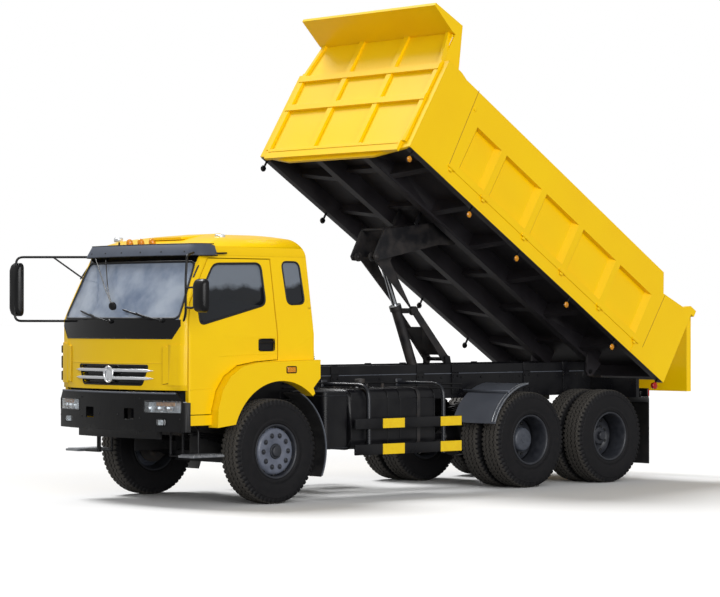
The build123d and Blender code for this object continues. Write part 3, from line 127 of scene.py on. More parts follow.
def carried(outline, path, up=(0, 0, 1), scales=None):
    """A closed outline carried along a path without twist: each side axis is the last one made
    square to the path, and both ends are closed by a point in their middle."""
    path = np.asarray(path, float)
    ahead = np.gradient(path, axis=0)
    ahead /= np.linalg.norm(ahead, axis=1, keepdims=True)
    side = np.zeros_like(path)
    last = np.cross(np.asarray(up, float), ahead[0])
    if np.linalg.norm(last) < 0.05:
        last = np.array([0.0, 1.0, 0.0]) if abs(ahead[0][1]) < 0.9 else np.array([1.0, 0.0, 0.0])
    for k, direction in enumerate(ahead):
        last = last - (last @ direction) * direction
        last = last / np.linalg.norm(last)
        side[k] = last
    top = np.cross(ahead, side)
    scales = np.ones(len(path)) if scales is None else np.asarray(scales, float)
    flat = outline[None, :, :] * scales[:, None, None]
    grid = path[:, None, :] + flat[..., :1] * side[:, None, :] + flat[..., 1:] * top[:, None, :]
    rows, cols = grid.shape[:2]
    points = np.concatenate([grid.reshape(-1, 3), path[:1], path[-1:]])
    faces = [tuple(f) for f in quads(rows, cols, wrap_cols=True)[:, ::-1]]
    first, last, tail = rows * cols, rows * cols + 1, (rows - 1) * cols
    k = np.arange(cols)
    faces += [(first, int(a), int(b)) for a, b in zip(k, (k + 1) % cols)]
    faces += [(last, int(b) + tail, int(a) + tail) for a, b in zip(k, (k + 1) % cols)]
    return points, faces


def bead(path, radius=0.005, sides=8):
    """A round bead along a path, such as a seam or a rolled edge."""
    return carried(ring(radius, sides), path)


def bar(start, end, width, height, corner=0.004, up=(0, 0, 1)):
    """A rounded bar: a rounded rectangle carried from start to end, drawn in at both ends."""
    start, end = np.asarray(start, float), np.asarray(end, float)
    length = np.linalg.norm(end - start)
    step = min(corner, length / 3) / length
    path = start + (end - start) * np.array([[0], [step], [1 - step], [1]])
    shrink = 1 - 2 * corner / max(width, height)
    return carried(round_box(width, height, corner), path, up, (shrink, 1, 1, shrink))


def smooth_path(points, bend=0.06, steps=5):
    """A path through points whose corners are rounded by quadratic arcs."""
    points = [np.asarray(p, float) for p in points]
    out = [points[0]]
    for before, corner, after in zip(points, points[1:], points[2:]):
        a = corner + (before - corner) * min(bend / np.linalg.norm(before - corner), 0.45)
        b = corner + (after - corner) * min(bend / np.linalg.norm(after - corner), 0.45)
        t = np.linspace(0, 1, steps + 1)[:, None]
        out.extend((1 - t) ** 2 * a + 2 * t * (1 - t) * corner + t ** 2 * b)
    out.append(points[-1])
    return np.array(out)


def tube(points, radius, bend=0.06, sides=14):
    """A round tube along a path with rounded corners."""
    return bead(smooth_path(points, bend), radius, sides)


def spun(profile, centre, axis=(0, 1, 0), steps=64):
    """A profile of (distance along the axis, radius) points turned about an axis."""
    profile = np.asarray(profile, float)
    axis = np.asarray(axis, float) / np.linalg.norm(axis)
    helper = np.array([1.0, 0, 0]) if abs(axis[0]) < 0.9 else np.array([0, 0, 1.0])
    side = np.cross(axis, helper)
    side /= np.linalg.norm(side)
    other = np.cross(axis, side)
    a = np.linspace(0, 2 * np.pi, steps, endpoint=False)
    spokes = np.cos(a)[:, None] * side + np.sin(a)[:, None] * other
    grid = (np.asarray(centre, float) + profile[None, :, :1] * axis
            + profile[None, :, 1:] * spokes[:, None, :])
    return grid.reshape(-1, 3), [tuple(f) for f in quads(steps, len(profile), wrap_rows=True)]


def studded(shape_of, places):
    """The same small form at many places."""
    return joined(*[shape_of(place) for place in places])


def hex_head(centre, axis, across=0.014, height=0.009):
    """A six-sided bolt head with a drawn-in top."""
    profile = [(0, 0), (0, across), (height * 0.75, across), (height, across * 0.8), (height, 0)]
    return spun(profile, centre, axis, 6)


def piece(name, shape, material, body, stands_for=None, angle=35):
    """A mesh object from points and faces, which may stand for a CAD node."""
    mesh = bpy.data.meshes.new(name)
    points, faces = shape
    mesh.from_pydata(points.tolist(), [], [tuple(int(i) for i in f) for f in faces])
    mesh.validate()
    return made(name, mesh, material, body, angle,
                (stands_for,) if stands_for else ())


def made(name, mesh, material, body, angle, replaced):
    """Weld a mesh, point its faces outwards, smooth it below an angle and hang it on a body."""
    work = bmesh.new()
    work.from_mesh(mesh)
    bmesh.ops.remove_doubles(work, verts=work.verts, dist=2e-5)
    bmesh.ops.dissolve_degenerate(work, edges=work.edges, dist=1e-6)
    bmesh.ops.recalc_face_normals(work, faces=work.faces)
    work.to_mesh(mesh)
    work.free()
    mesh.polygons.foreach_set("use_smooth", np.ones(len(mesh.polygons), bool))
    mesh.set_sharp_from_angle(angle=radians(angle))
    mesh.materials.clear()
    mesh.materials.append(material)
    obj = bpy.data.objects.new(name, mesh)
    bpy.context.scene.collection.objects.link(obj)
    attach(obj, body)
    if replaced:
        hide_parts(*replaced)
    return obj


# ---------------------------------------------------------------- materials
def linear(code):
    """An sRGB hex colour as linear RGBA."""
    c = np.array([int(code[i:i + 2], 16) for i in (1, 3, 5)]) / 255
    return (*np.where(c <= 0.04045, c / 12.92, ((c + 0.055) / 1.055) ** 2.4), 1.0)


def add(tree, kind, links=None, **settings):
    """Add a node, set its properties or sockets by name, and link its sockets to others."""
    node = tree.nodes.new("ShaderNode" + kind)
    for name, value in settings.items():
        if hasattr(node, name):
            setattr(node, name, value)
        else:
            node.inputs[name.replace("_", " ")].default_value = value
    for name, source in (links or {}).items():
        tree.links.new(node.inputs[name], source)
    return node


def bare_material(name):
    """A material whose node tree is empty, and that tree."""
    material = bpy.data.materials.new(name)
    material.use_nodes = True
    material.node_tree.nodes.clear()
    return material, material.node_tree


def on_piece(tree):
    """The link that hands a texture its places on the piece."""
    return {"Vector": add(tree, "TexCoord").outputs["Object"]}


def blend(tree, factor, low, high):
    """Two shades mixed by a factor."""
    mixed = add(tree, "Mix", {"Factor": factor}, data_type="RGBA")
    mixed.inputs[6].default_value = linear(low)
    mixed.inputs[7].default_value = linear(high)
    return mixed


def finish(name, colour, second, spread_mm, grain_mm, grain=0.1, edge_mm=3.0, rough=(0.3, 0.4), dust=None,
           **shader):
    """A finish of two shades that drift into each other, a fine grain and rounded edges.

    colour and second are mixed by noise of spread_mm, roughness runs between the two values of
    rough by the same noise, grain_mm is the width of the grain and edge_mm the edge rounding.
    dust is a shade laid where the piece's own attribute of that name is 1."""
    material, tree = bare_material(name)
    place = on_piece(tree)
    drift = add(tree, "TexNoise", place, Scale=1 / (spread_mm * MM), Detail=4.0)
    share = add(tree, "MapRange", {"Value": drift.outputs["Fac"]}, From_Min=0.38, From_Max=0.68)
    mixed = blend(tree, share.outputs["Result"], colour, second)
    if dust:
        laid = add(tree, "Attribute", attribute_name="dust")
        clean = mixed
        mixed = add(tree, "Mix", {"Factor": laid.outputs["Fac"], 6: clean.outputs[2]}, data_type="RGBA")
        mixed.inputs[7].default_value = linear(dust)
    shine = add(tree, "MapRange", {"Value": drift.outputs["Fac"]}, From_Min=0.35, From_Max=0.7,
                To_Min=rough[0], To_Max=rough[1])
    speck = add(tree, "TexNoise", place, Scale=1 / (grain_mm * MM), Detail=2.0)
    links = {"Height": speck.outputs["Fac"]}
    if edge_mm:
        soft = add(tree, "Bevel", Radius=edge_mm * MM)
        soft.samples = 3
        links["Normal"] = soft.outputs["Normal"]
    bump = add(tree, "Bump", links, Strength=grain, Distance=grain_mm * MM * 0.3)
    shade = add(tree, "BsdfPrincipled", {"Base Color": mixed.outputs[2], "Roughness": shine.outputs["Result"],
                                         "Normal": bump.outputs["Normal"]})
    for key, value in shader.items():
        shade.inputs[key.replace("_", " ")].default_value = value
    add(tree, "OutputMaterial", {"Surface": shade.outputs["BSDF"]})
    return material


# Sprayed two-coat enamel: deep even yellow under a clear gloss, with faint orange peel.
ENAMEL = finish("sprayed_enamel_yellow", "#f8cc00", "#f5c600", 900, 14, 0.05, 5, (0.3, 0.4),
                Coat_Weight=0.15, Coat_Roughness=0.1, Specular_IOR_Level=0.25)
# Painted shade for seams and raised edges: the yellow made a shade deeper where a joint or an edge would
# shade.
SEAM_SHADE = finish("painted_seam_shade", "#a87a00", "#9a6f00", 60, 3, 0.1, 0, (0.5, 0.6))
# Chassis enamel: brushed-on satin black with road dust in broad patches.
CHASSIS = finish("satin_chassis_enamel", "#0c0c10", "#18181a", 260, 6, 0.25, 4, (0.26, 0.48),
                 Specular_IOR_Level=0.32)
# Body underside: sprayed black with a thin film of dried mud.
UNDERSIDE = finish("sprayed_black_underside", "#211e22", "#2d2a2e", 340, 8, 0.25, 4, (0.46, 0.6))
# Hoist steel: black enamel rubbed to brown-grey where plates slide.
HOIST = finish("rubbed_hoist_enamel", "#17171a", "#2e2a29", 150, 5, 0.25, 4, (0.35, 0.6))
# Guard tube: smooth black powder coat with a soft highlight.
TUBE = finish("black_powder_coat", "#1d1f24", "#282a30", 90, 3, 0.03, 2, (0.26, 0.36))
# Cast iron: dark grey-brown with a sand-cast pebble.
CASTING = finish("sand_cast_iron", "#2b2a2b", "#3b332c", 90, 3, 0.5, 4, (0.55, 0.75))
# Wheel enamel: pale blue-grey sprayed over a pressed disc.
WHEEL_GREY = finish("blue_grey_wheel_enamel", "#646977", "#565b68", 70, 2, 0.15, 3, (0.34, 0.5))
# Hub cap enamel: the wheel's grey darkened for the shade deep inside the twin wheels: painted shade.
SHADED_HUB_GREY = finish("hub_enamel_painted_shade", "#474b54", "#3c4048", 40, 2, 0.2, 3, (0.42, 0.58))
# Black wheel enamel: satin, a touch lighter than the tyre.
WHEEL_BLACK = finish("black_wheel_enamel", "#26282e", "#303238", 70, 2, 0.15, 3, (0.36, 0.55))
# Tyre rubber: carbon black with dust held in the grain.
RUBBER = finish("tyre_rubber", "#0f0f12", "#181719", 60, 2.5, 0.35, 0, (0.58, 0.8), "#4a4743",
                Specular_IOR_Level=0.25)
# Flap rubber: flat charcoal sheet with a moulded grain.
FLAP = finish("moulded_flap_rubber", "#141416", "#201f1f", 120, 4, 0.3, 3, (0.6, 0.8))
# Moulded plastic: the fine leather grain of a tool face.
PLASTIC = finish("grained_black_plastic", "#08080a", "#0f0f11", 300, 1.6, 0.3, 4, (0.26, 0.4),
                 Specular_IOR_Level=0.35)
# Gloss panel: black acrylic, deep and mirror smooth.
GLOSS = finish("piano_black_panel", "#040406", "#08080a", 500, 20, 0.02, 3, (0.06, 0.1), Coat_Weight=0.3,
               Coat_Roughness=0.04, Specular_IOR_Level=0.3)
# Visor: smoked acrylic, slate grey with a broad soft shine.
SMOKED = finish("smoked_acrylic_visor", "#505764", "#454b58", 400, 20, 0.03, 3, (0.38, 0.48),
                Specular_IOR_Level=0.3)
# Mudguard: mid grey moulded plastic with a fine grain.
GUARD = finish("grey_moulded_mudguard", "#565a63", "#60646d", 300, 3, 0.2, 5, (0.34, 0.46))
# Window seal: extruded rubber, nearly black and dull.
SEAL = finish("window_seal_rubber", "#0d0d0f", "#141416", 90, 2, 0.2, 1.5, (0.5, 0.65))
# Chrome plate on plastic bars: bright, its highlights a little spread.
CHROME = finish("bright_chrome_plate", "#f2f3f5", "#e6e9ec", 200, 8, 0.03, 2, (0.14, 0.24), Metallic=0.7)
# Hard chrome on the rod: ground and polished, a sharp grey mirror.
ROD = finish("polished_hard_chrome", "#c9ccd0", "#b6babf", 60, 1, 0.05, 0, (0.1, 0.2), Metallic=1.0)
# Galvanised plate: dull silver with the drift of its zinc spangle.
STEEL = finish("galvanised_plate", "#a3a5a8", "#75797f", 50, 3, 0.15, 1.5, (0.34, 0.5), Metallic=0.6)
# Reflective tape: even yellow film with a fine bead texture.
TAPE = finish("yellow_reflective_tape", "#f2cc10", "#ecc20a", 60, 3, 0.3, 1, (0.3, 0.4))
# Moulded cab trim: soft grey mat that swallows light.
TRIM_CLOTH = finish("moulded_cab_trim", "#33353a", "#2a2c30", 200, 2.2, 0.4, 4, (0.6, 0.75))
# Lamp mouldings: clear coloured acrylic that glows where light gets in.
AMBER = finish("amber_lamp_moulding", "#f4a41c", "#ea9210", 30, 4, 0.2, 1.5, (0.12, 0.2),
               Transmission_Weight=0.35, IOR=1.49)
RED = finish("red_lamp_moulding", "#c01a10", "#a8120a", 30, 4, 0.2, 1.5, (0.12, 0.2),
             Transmission_Weight=0.3, IOR=1.49)
# Clear lamp moulding: near white acrylic with a moulded ripple.
LENS = finish("clear_lamp_moulding", "#e9edf0", "#dfe4e8", 60, 9, 0.4, 1, (0.03, 0.06),
              Transmission_Weight=0.9, IOR=1.49)
# Aluminised reflector: bright silver behind the lens.
BRIGHT = finish("aluminised_reflector", "#f4f6f8", "#e6eaee", 60, 9, 0.1, 1, (0.12, 0.2), Metallic=0.6)
# Windscreen: tinted glass whose colour carries a painted reflection of a bright, clouded sky.
SCREEN_GLASS = finish("windscreen_painted_sky_reflection", "#7f90ab", "#c3cedd", 420, 60, 0.0, 0, (0.03, 0.06),
                      Transmission_Weight=0.45, IOR=1.5, Coat_Weight=0.5, Coat_Roughness=0.03)
# Mirror glass: silvered behind a smooth pane.
MIRROR = finish("silvered_mirror_glass", "#dde2e6", "#d6dbe0", 300, 60, 0.0, 0, (0.01, 0.03), Metallic=1.0)


def seat_fabric():
    """Woven seat cloth: two crossed waves. Bands lie 0.31 / scale apart, here 3.8 mm, which is
    coarser than real thread so that it shows."""
    weave = 1 / (12 * MM)
    material, tree = bare_material("woven_seat_cloth")
    place = on_piece(tree)
    warp = add(tree, "TexWave", place, Scale=weave, bands_direction="X", Distortion=0.6)
    weft = add(tree, "TexWave", place, Scale=weave, bands_direction="Y", Distortion=0.6)
    cross = add(tree, "Math", {0: warp.outputs["Fac"], 1: weft.outputs["Fac"]}, operation="MULTIPLY")
    mixed = blend(tree, cross.outputs[0], "#24262b", "#474a52")
    bump = add(tree, "Bump", {"Height": cross.outputs[0]}, Strength=0.5, Distance=0.6 * MM)
    shade = add(tree, "BsdfPrincipled", {"Base Color": mixed.outputs[2], "Normal": bump.outputs["Normal"]},
                Roughness=0.9, Sheen_Weight=0.3)
    add(tree, "OutputMaterial", {"Surface": shade.outputs["BSDF"]})
    return material


def painted_reflection_side_glass():
    """Side panes: tinted glass with a painted reflection: the sky above eye height and dark ground below it.
    """
    material, tree = bare_material("side_glass_painted_reflection")
    place = on_piece(tree)
    axes = add(tree, "SeparateXYZ", place)
    drift = add(tree, "TexNoise", place, Scale=1 / (250 * MM), Detail=3.0)
    height = add(tree, "Math", {0: drift.outputs["Fac"], 2: axes.outputs["Z"]}, operation="MULTIPLY_ADD")
    height.inputs[1].default_value = 0.25
    share = add(tree, "MapRange", {"Value": height.outputs[0]}, From_Min=2.34, From_Max=2.40)
    mixed = blend(tree, share.outputs["Result"], "#23272d", "#8e97a3")
    shade = add(tree, "BsdfPrincipled", {"Base Color": mixed.outputs[2]}, Roughness=0.03, IOR=1.5,
                Transmission_Weight=0.45)
    add(tree, "OutputMaterial", {"Surface": shade.outputs["BSDF"]})
    return material


CLOTH = seat_fabric()
GLASS = painted_reflection_side_glass()

# ---------------------------------------------------------------- CAD pieces and their finishes
# finish and record slot of each CAD node that keeps its shape
FINISHES = {
    "chassis_black": CHASSIS, "bed_black": UNDERSIDE, "guard_grey": CHASSIS, "mudguard_grey": GUARD,
    "body_yellow": ENAMEL, "rim_bluegrey": WHEEL_GREY, "rim_black": WHEEL_BLACK, "cast_grey": CASTING,
    "polished_rod": ROD, "chrome_trim": CHROME, "tyre": RUBBER, "flap_rubber": FLAP, "trim_black": PLASTIC,
    "gloss_black": GLOSS, "visor_slate": SMOKED, "window_glass": GLASS, "lamp_clear": LENS,
    "lamp_amber": AMBER, "lamp_red": RED, "reflector_yellow": TAPE, "seat_cloth": CLOTH}
# the slot of a new piece, by its material
SLOT_OF = {material: slot for slot, material in FINISHES.items() if slot != "guard_grey"}
SLOT_OF.update({SEAL: "trim_black", SEAM_SHADE: "body_yellow", BRIGHT: "lamp_clear", TUBE: "guard_grey",
                MIRROR: "chrome_trim", HOIST: "chassis_black"})
OWN_FINISH = {"tension_arm": HOIST, "triangle_arm": HOIST, "cylinder_barrel": HOIST, "hoist_bracket": HOIST,
              "cab_floor": TRIM_CLOTH, "dashboard": TRIM_CLOTH}
PLATED = {"bed_side_left", "bed_side_right", "headboard", "tailgate", "bed_underframe", "tipper_subframe",
          "chassis_frame"}
SLOTS = {row["node"]: row["material_slot"] for row in frame["record"]["subparts"]}
BODY_OF = {node: body for body, members in frame["record"]["behaviour"]["bodies"].items() for node in members}
REMADE = {"seats", "mirrors", "side_guards", "bumper_lamps", "bed_lamps", "roof_lamps", "grille",
          "rear_lamps", "sun_visor", "entry_steps", "cab_glazing", "rear_mudguards"} | {
    n for n in NODES if n.endswith("_tyre") or n.endswith("_rim")}


def dressed(node):
    """A welded copy of a CAD node with smooth curves, standing for it."""
    mesh = NODES[node].data.copy()
    obj = made(node + "_form", mesh, OWN_FINISH.get(node, FINISHES[SLOTS[node]]), BODY_OF[node],
               8 if node in PLATED else 28, (node,))
    if node not in ("door_glass_left", "door_glass_right"):
        even = obj.modifiers.new("even_normals", "WEIGHTED_NORMAL")
        even.keep_sharp = True
    return obj


for node in sorted(NODES):
    if node not in REMADE:
        dressed(node)


def split(node, name, material, x, ahead):
    """The CAD's own faces of a node that lie ahead of, or behind, a plane across the truck at x."""
    mesh = NODES[node].data.copy()
    work = bmesh.new()
    work.from_mesh(mesh)
    away = [f for f in work.faces if (f.calc_center_median().x > x) != ahead]
    bmesh.ops.delete(work, geom=away, context="FACES")
    work.to_mesh(mesh)
    work.free()
    made(name, mesh, material, BODY_OF[node], 28, (node,))


split("cab_glazing", "windscreen_pane", SCREEN_GLASS, FRONT + 0.3, True)
split("cab_glazing", "quarter_panes", GLASS, FRONT + 0.3, False)
split("rear_mudguards", "wheel_arches", GUARD, REAR - 0.58, True)
split("rear_mudguards", "mud_flaps", FLAP, REAR - 0.58, False)

# ---------------------------------------------------------------- wheels
PITCHES, STEPS = 60, 6
# half a tyre section in mm from the bead to the crown: offset, radius, and the parts that the
# point takes in the zigzag and in the notch
HALF_SECTION = np.array([(110, 269, 0, 0), (116, 284, 0, 0), (127, 287, 0, 0), (133, 297, 0, 0),
                         (134, 316, 0, 0), (137.5, 318, 0, 0), (137.5, 327, 0, 0), (135.5, 330, 0, 0),
                         (139, 350, 0, 0), (142, 385, 0, 0), (143, 415, 0, 0), (142, 445, 0, 0),
                         (140, 470, 0, 0), (142.5, 472, 0, 0), (142.5, 479, 0, 0), (139.5, 481, 0, 0),
                         (138.5, 494, 0, 0.2), (136, 508, 0, 1), (132, 522, 0, 1), (126, 533, 0, 1),
                         (114, 538.5, 0, 1), (98, 540.5, 0.3, 1), (90, 541, 0.6, 0), (69, 541.5, 1, 0),
                         (66, 527, 1, 0), (54, 527, 1, 0), (51, 542, 1, 0), (30, 542.6, 1, 0),
                         (10, 543, 1, 0), (7, 528, 1, 0)])


def tyre_shape(side, shift=0.0):
    """A tyre as one surface: each section column (t, r) goes round the axle at angle a, with
    t + 9 mm * zig * wave(a) for the zigzag ribs and r - 15 mm * notch where a shoulder slot is."""
    half = HALF_SECTION * (0.001, 0.001, 1, 1)
    columns = np.concatenate([half, half[::-1] * (-1, 1, 1, 1)])
    rows = PITCHES * STEPS
    angle = np.arange(rows) * 2 * np.pi / rows
    beat = np.arange(rows) % STEPS
    wave = np.array([0, 1, 1, 0, -1, -1])[beat]
    slot = np.array([0, 1, 1, 0, 0, 0])[beat]
    t, r, zig, notch = columns.T
    offset = t + 0.009 * zig * wave[:, None]
    cut = notch * np.where(t > 0, slot[:, None], np.roll(slot, 3)[:, None])
    offset = offset - np.sign(t) * 0.006 * cut * (np.abs(t) > 0.125)
    radius = r - 0.015 * cut * (r > 0.505)
    y = side * (TRACK + shift) + offset
    grid = np.stack([radius * np.cos(angle)[:, None], y, radius * np.sin(angle)[:, None]], -1)
    return grid.reshape(-1, 3), [tuple(f) for f in quads(rows, len(t), wrap_rows=True)]


def places_of(mesh):
    """The points of a mesh as an array of rows (x, y, z)."""
    flat = np.empty(len(mesh.vertices) * 3)
    mesh.vertices.foreach_get("co", flat)
    return flat.reshape(-1, 3)


def dusted(obj, station):
    """Dust on a tread: the attribute is 1 above 536 mm from the axle and falls to 0 at 530 mm."""
    mesh = obj.data
    x, _, z = places_of(mesh).T
    layer = mesh.attributes.new("dust", "FLOAT", "POINT")
    layer.data.foreach_set("value", np.clip((np.hypot(x - station, z - WHEEL_Z) - 0.530) / 0.006, 0, 1))


# rim profiles in mm: (offset outwards from the tyre's middle, radius)
LIP = [(119, 266), (119, 280), (122, 284), (127, 284), (130.5, 281), (131, 275), (128, 266), (121, 261)]
FRONT_BARREL = ([(-t, r) for t, r in LIP] + [(-100, 256), (-40, 246), (0, 246), (30, 252), (100, 256)]
                + LIP[::-1] + [(-119, 266)])
FRONT_DISC = [(20, 253), (50, 251), (80, 246), (102, 236), (113, 226), (118, 212), (119, 196), (119, 84),
              (116, 80), (104, 79), (104, 205), (84, 228), (20, 240)]
FRONT_CAP = [(80, 78), (116, 77), (122, 74), (124, 68), (124, 60), (142, 58), (148, 53), (150, 44), (150, 0)]
REAR_BARREL = ([(-t, r) for t, r in LIP] + [(-100, 252), (-60, 240), (60, 244), (100, 254)]
               + LIP[::-1] + [(-119, 266)])
REAR_DISC = [(-96, 240), (-122, 226), (-146, 204), (-152, 190), (-152, 118), (-178, 118), (-178, 190),
             (-184, 204), (-208, 226), (-234, 240)]
WIDE_CAP = [(-152, 150), (-130, 142), (-20, 138), (8, 132), (20, 122), (24, 108), (24, 40), (30, 38), (32, 0)]
DEEP_CAP = [(-152, 112), (-60, 106), (-36, 98), (-30, 86), (-30, 52), (10, 50), (16, 44), (16, 0)]
DRUM = [(-178, 140), (-225, 150), (-232, 200), (-245, 208), (-400, 208), (-410, 214), (-432, 214), (-432, 90)]


def turned(profile, side, station, steps=72):
    """A rim profile turned about its axle."""
    rows = np.array(profile, float) * 0.001
    rows[:, 0] = side * (TRACK + rows[:, 0])
    return spun(rows, (station, 0, WHEEL_Z), (0, 1, 0), steps)


def arch(station, y, radius, angles):
    """Points on a circle about an axle, at the given angles."""
    return np.stack([station + radius * np.cos(angles), np.full(len(angles), float(y)),
                     WHEEL_Z + radius * np.sin(angles)], 1)


def nut_places(station, side, offset):
    """The places of ten nuts on their circle."""
    return arch(station, side * (TRACK + offset), NUT_CIRCLE, np.arange(10) * 2 * np.pi / 10)


def wheel_nuts(station, side, offset):
    """Ten nuts with their studs on a 335 mm circle."""
    return studded(lambda p: spun([(0, 0), (0, 0.019), (0.014, 0.019), (0.018, 0.015), (0.018, 0.011),
                                   (0.025, 0.010), (0.027, 0.007), (0.027, 0)], p, (0, side, 0), 12),
                   nut_places(station, side, offset))


def wheel_rings(station, side, offset):
    """The pressed ring round each nut."""
    return studded(lambda p: spun([(-0.004, 0.018), (0.003, 0.022), (0.003, 0.028), (-0.004, 0.031)], p,
                                  (0, side, 0), 20), nut_places(station, side, offset))


def hand_hole_shades(station, side, offset, radius):
    """Ten oval hand holes, drawn as dark arcs on the cone of the disc: painted shade of the holes."""
    return studded(lambda k: carried(
        ring(0.013, 10), arch(station, side * (TRACK + offset), radius, k + np.linspace(-0.085, 0.085, 7)),
        (0, 1, 0), (0.5, 0.85, 1, 1, 1, 0.85, 0.5)), np.arange(10) * 2 * np.pi / 10 + np.pi / 10)


def wheel(name, station, tyre, forms):
    """The pieces of one wheel, or of a pair of twins: its dusted tyre and the forms of its rim."""
    body = "wheel_" + name
    points, faces = tyre
    dusted(piece(name + "_tyre_form", (points + (station, 0, WHEEL_Z), faces), RUBBER, body, name + "_tyre",
                 50), station)
    for form, material, shape in forms:
        piece(f"{name}_{form}", shape, material, body, name + "_rim", 40)


INNER_BARREL = [(t - 1000 * TWIN, r) for t, r in REAR_BARREL]
for side, word in SIDES:
    wheel("front_" + word, FRONT, tyre_shape(side), (
        ("barrel", WHEEL_BLACK, turned(FRONT_BARREL, side, FRONT)),
        ("disc", WHEEL_GREY, turned(FRONT_DISC, side, FRONT)),
        ("cap", WHEEL_BLACK, turned(FRONT_CAP, side, FRONT, 40)),
        ("nuts", WHEEL_BLACK, joined(wheel_nuts(FRONT, side, 0.118), wheel_rings(FRONT, side, 0.118))),
        ("hand_hole_shades", SEAL, hand_hole_shades(FRONT, side, 0.088, 0.246))))
    for axle, station, cap, paint in (("middle", MIDDLE, WIDE_CAP, SHADED_HUB_GREY),
                                      ("rear", REAR, DEEP_CAP, WHEEL_BLACK)):
        wheel(f"{axle}_{word}", station, joined(tyre_shape(side), tyre_shape(side, -TWIN)), (
            ("barrels", WHEEL_BLACK, joined(*[turned(profile, side, station)
                                              for profile in (REAR_BARREL, INNER_BARREL, REAR_DISC)])),
            ("hub", paint, turned(cap, side, station, 48)),
            ("drum", CASTING, turned(DRUM, side, station, 48)),
            ("nuts", SEAL, joined(wheel_nuts(station, side, -0.152),
                                  hand_hole_shades(station, side, -0.135, 0.212)))))

# ---------------------------------------------------------------- cab front
def front_x(y, z):
    """Station of the bowed front: an arc of 3.5 m radius in plan with round corners, raked above 1.9 m."""
    y = np.abs(y)
    bow = -2.215 + np.sqrt(BOW ** 2 - y ** 2)
    corner = 1.042 + np.sqrt(np.maximum(0.0121 - (y - 0.94) ** 2, 0))
    return np.where(y < 0.9705, bow, corner) - 0.5 * np.maximum(0, z - 1.9)


def side_y(z):
    """Half width of the cab: upright to 1.75 m, then leaning in."""
    return 1.05 - 0.1605 * np.maximum(0, z - 1.75)


def bumper_x(y, z=1.0):
    """Station of the bumper's face: the same bow, 27 mm further forward at every height z."""
    y = np.abs(y)
    bow = -2.188 + np.sqrt(BOW ** 2 - y ** 2)
    corner = 1.0587 + np.sqrt(np.maximum(0.0121 - (y - 0.975) ** 2, 0))
    return np.where(y < 1.0066, bow, corner)


def fine(points, step=0.04):
    """A polyline with points added so that none are further apart than a step."""
    points = np.asarray(points, float)
    out = [points[:1]]
    for a, b in zip(points, points[1:]):
        count = max(1, int(np.ceil(np.linalg.norm(b - a) / step)))
        out.append(a + (b - a) * (np.arange(1, count + 1) / count)[:, None])
    return np.concatenate(out)


def loop(corners, bend, step=0.04):
    """A closed outline with rounded corners, from the middle of its first side back to it."""
    corners = np.asarray(corners, float)
    start = (corners[0] + corners[-1]) / 2
    path = smooth_path([start, *corners, start], bend)
    return fine(path, step)


def on_front(path, proud=0.0, face=front_x):
    """Points (y, z) laid on the cab's front."""
    y, z = np.asarray(path, float).T
    x = face(y, z)
    return np.stack([FRONT + x + proud, y, z], 1)


def on_side(path, side, proud=0.0):
    """Points (x, z) laid on one side of the cab."""
    x, z = np.asarray(path, float).T
    return np.stack([FRONT + x, side * (side_y(z) + proud), z], 1)


SCREEN = ((0.955, 1.915), (0.885, 2.498), (-0.885, 2.498), (-0.955, 1.915))
piece("windscreen_seal", bead(on_front(loop(SCREEN, 0.07), -0.004), 0.013, 10), SEAL, "cab")
piece("band_seam", bead(on_front(fine([(0.985, 1.845), (0.88, 1.71), (-0.88, 1.71), (-0.985, 1.845)], 0.03)),
                        0.004), SEAL, "cab")
# pressed line in the front panel, above the grille
piece("panel_crease", bead(on_front(fine([(-0.76, 1.462), (0.76, 1.462)]), -0.003), 0.006), ENAMEL, "cab")


def sheet_on(face, y0, y1, z0, z1, inset, thickness, rows=16, cols=5):
    """A sheet that follows a bowed face between two heights: x = face(y, z) - inset."""
    yy, zz = np.meshgrid(np.linspace(y0, y1, rows), np.linspace(z0, z1, cols), indexing="ij")
    front = np.stack([FRONT + face(yy, zz) - inset, yy, zz], -1).reshape(-1, 3)
    count = rows * cols
    faces = [tuple(f) for f in quads(rows, cols)]
    edge = ([i * cols for i in range(rows)] + [count - cols + j for j in range(1, cols)]
            + [i * cols + cols - 1 for i in range(rows - 2, -1, -1)] + list(range(cols - 2, 0, -1)))
    rim = [(a, b, b + count, a + count) for a, b in zip(edge, edge[1:] + edge[:1])]
    points = np.concatenate([front, front - (thickness, 0, 0)])
    return points, faces + [tuple(i + count for i in f[::-1]) for f in faces] + rim


# black edge of the glass above the screen, kept dark also for the visor's shade over it: partly painted shade
piece("screen_header_shade", sheet_on(front_x, -0.90, 0.90, 2.492, 2.575, -0.003, 0.006, 40, 4), GLOSS, "cab")


def deflector(side):
    """A raised plate on the corner of the nose; its edges climb outwards by 0.18 of the width."""
    points, faces = sheet_on(front_x, side * 0.775, side * 0.990, 1.250, 1.625, -0.013, 0.018)
    points[:, 2] += 0.18 * (np.abs(points[:, 1]) - 0.775)
    return points, faces


piece("deflectors", mirrored(deflector), ENAMEL, "cab")
piece("deflector_shadows", mirrored(lambda side: bead(on_front(fine(
    [(side * 0.772, 1.628), (side * 0.772, 1.248), (side * 0.990, 1.286)]), 0.001), 0.004)), SEAM_SHADE, "cab")


def grille_back():
    """The dark backing behind the bars: a bowed sheet, 35 mm behind the face."""
    v = np.linspace(0, 1, 6)
    w = np.linspace(-1, 1, 40)
    z = 1.236 + 0.203 * v
    y = (0.488 + 0.085 * v)[:, None] * w
    x = front_x(y, 1.3) - 0.036
    front = np.stack([FRONT + x, y, np.broadcast_to(z[:, None], y.shape)], -1).reshape(-1, 3)
    back = front - (0.008, 0, 0)
    faces = [tuple(f) for f in quads(6, 40)]
    return joined((front, faces), (back, [f[::-1] for f in faces]))


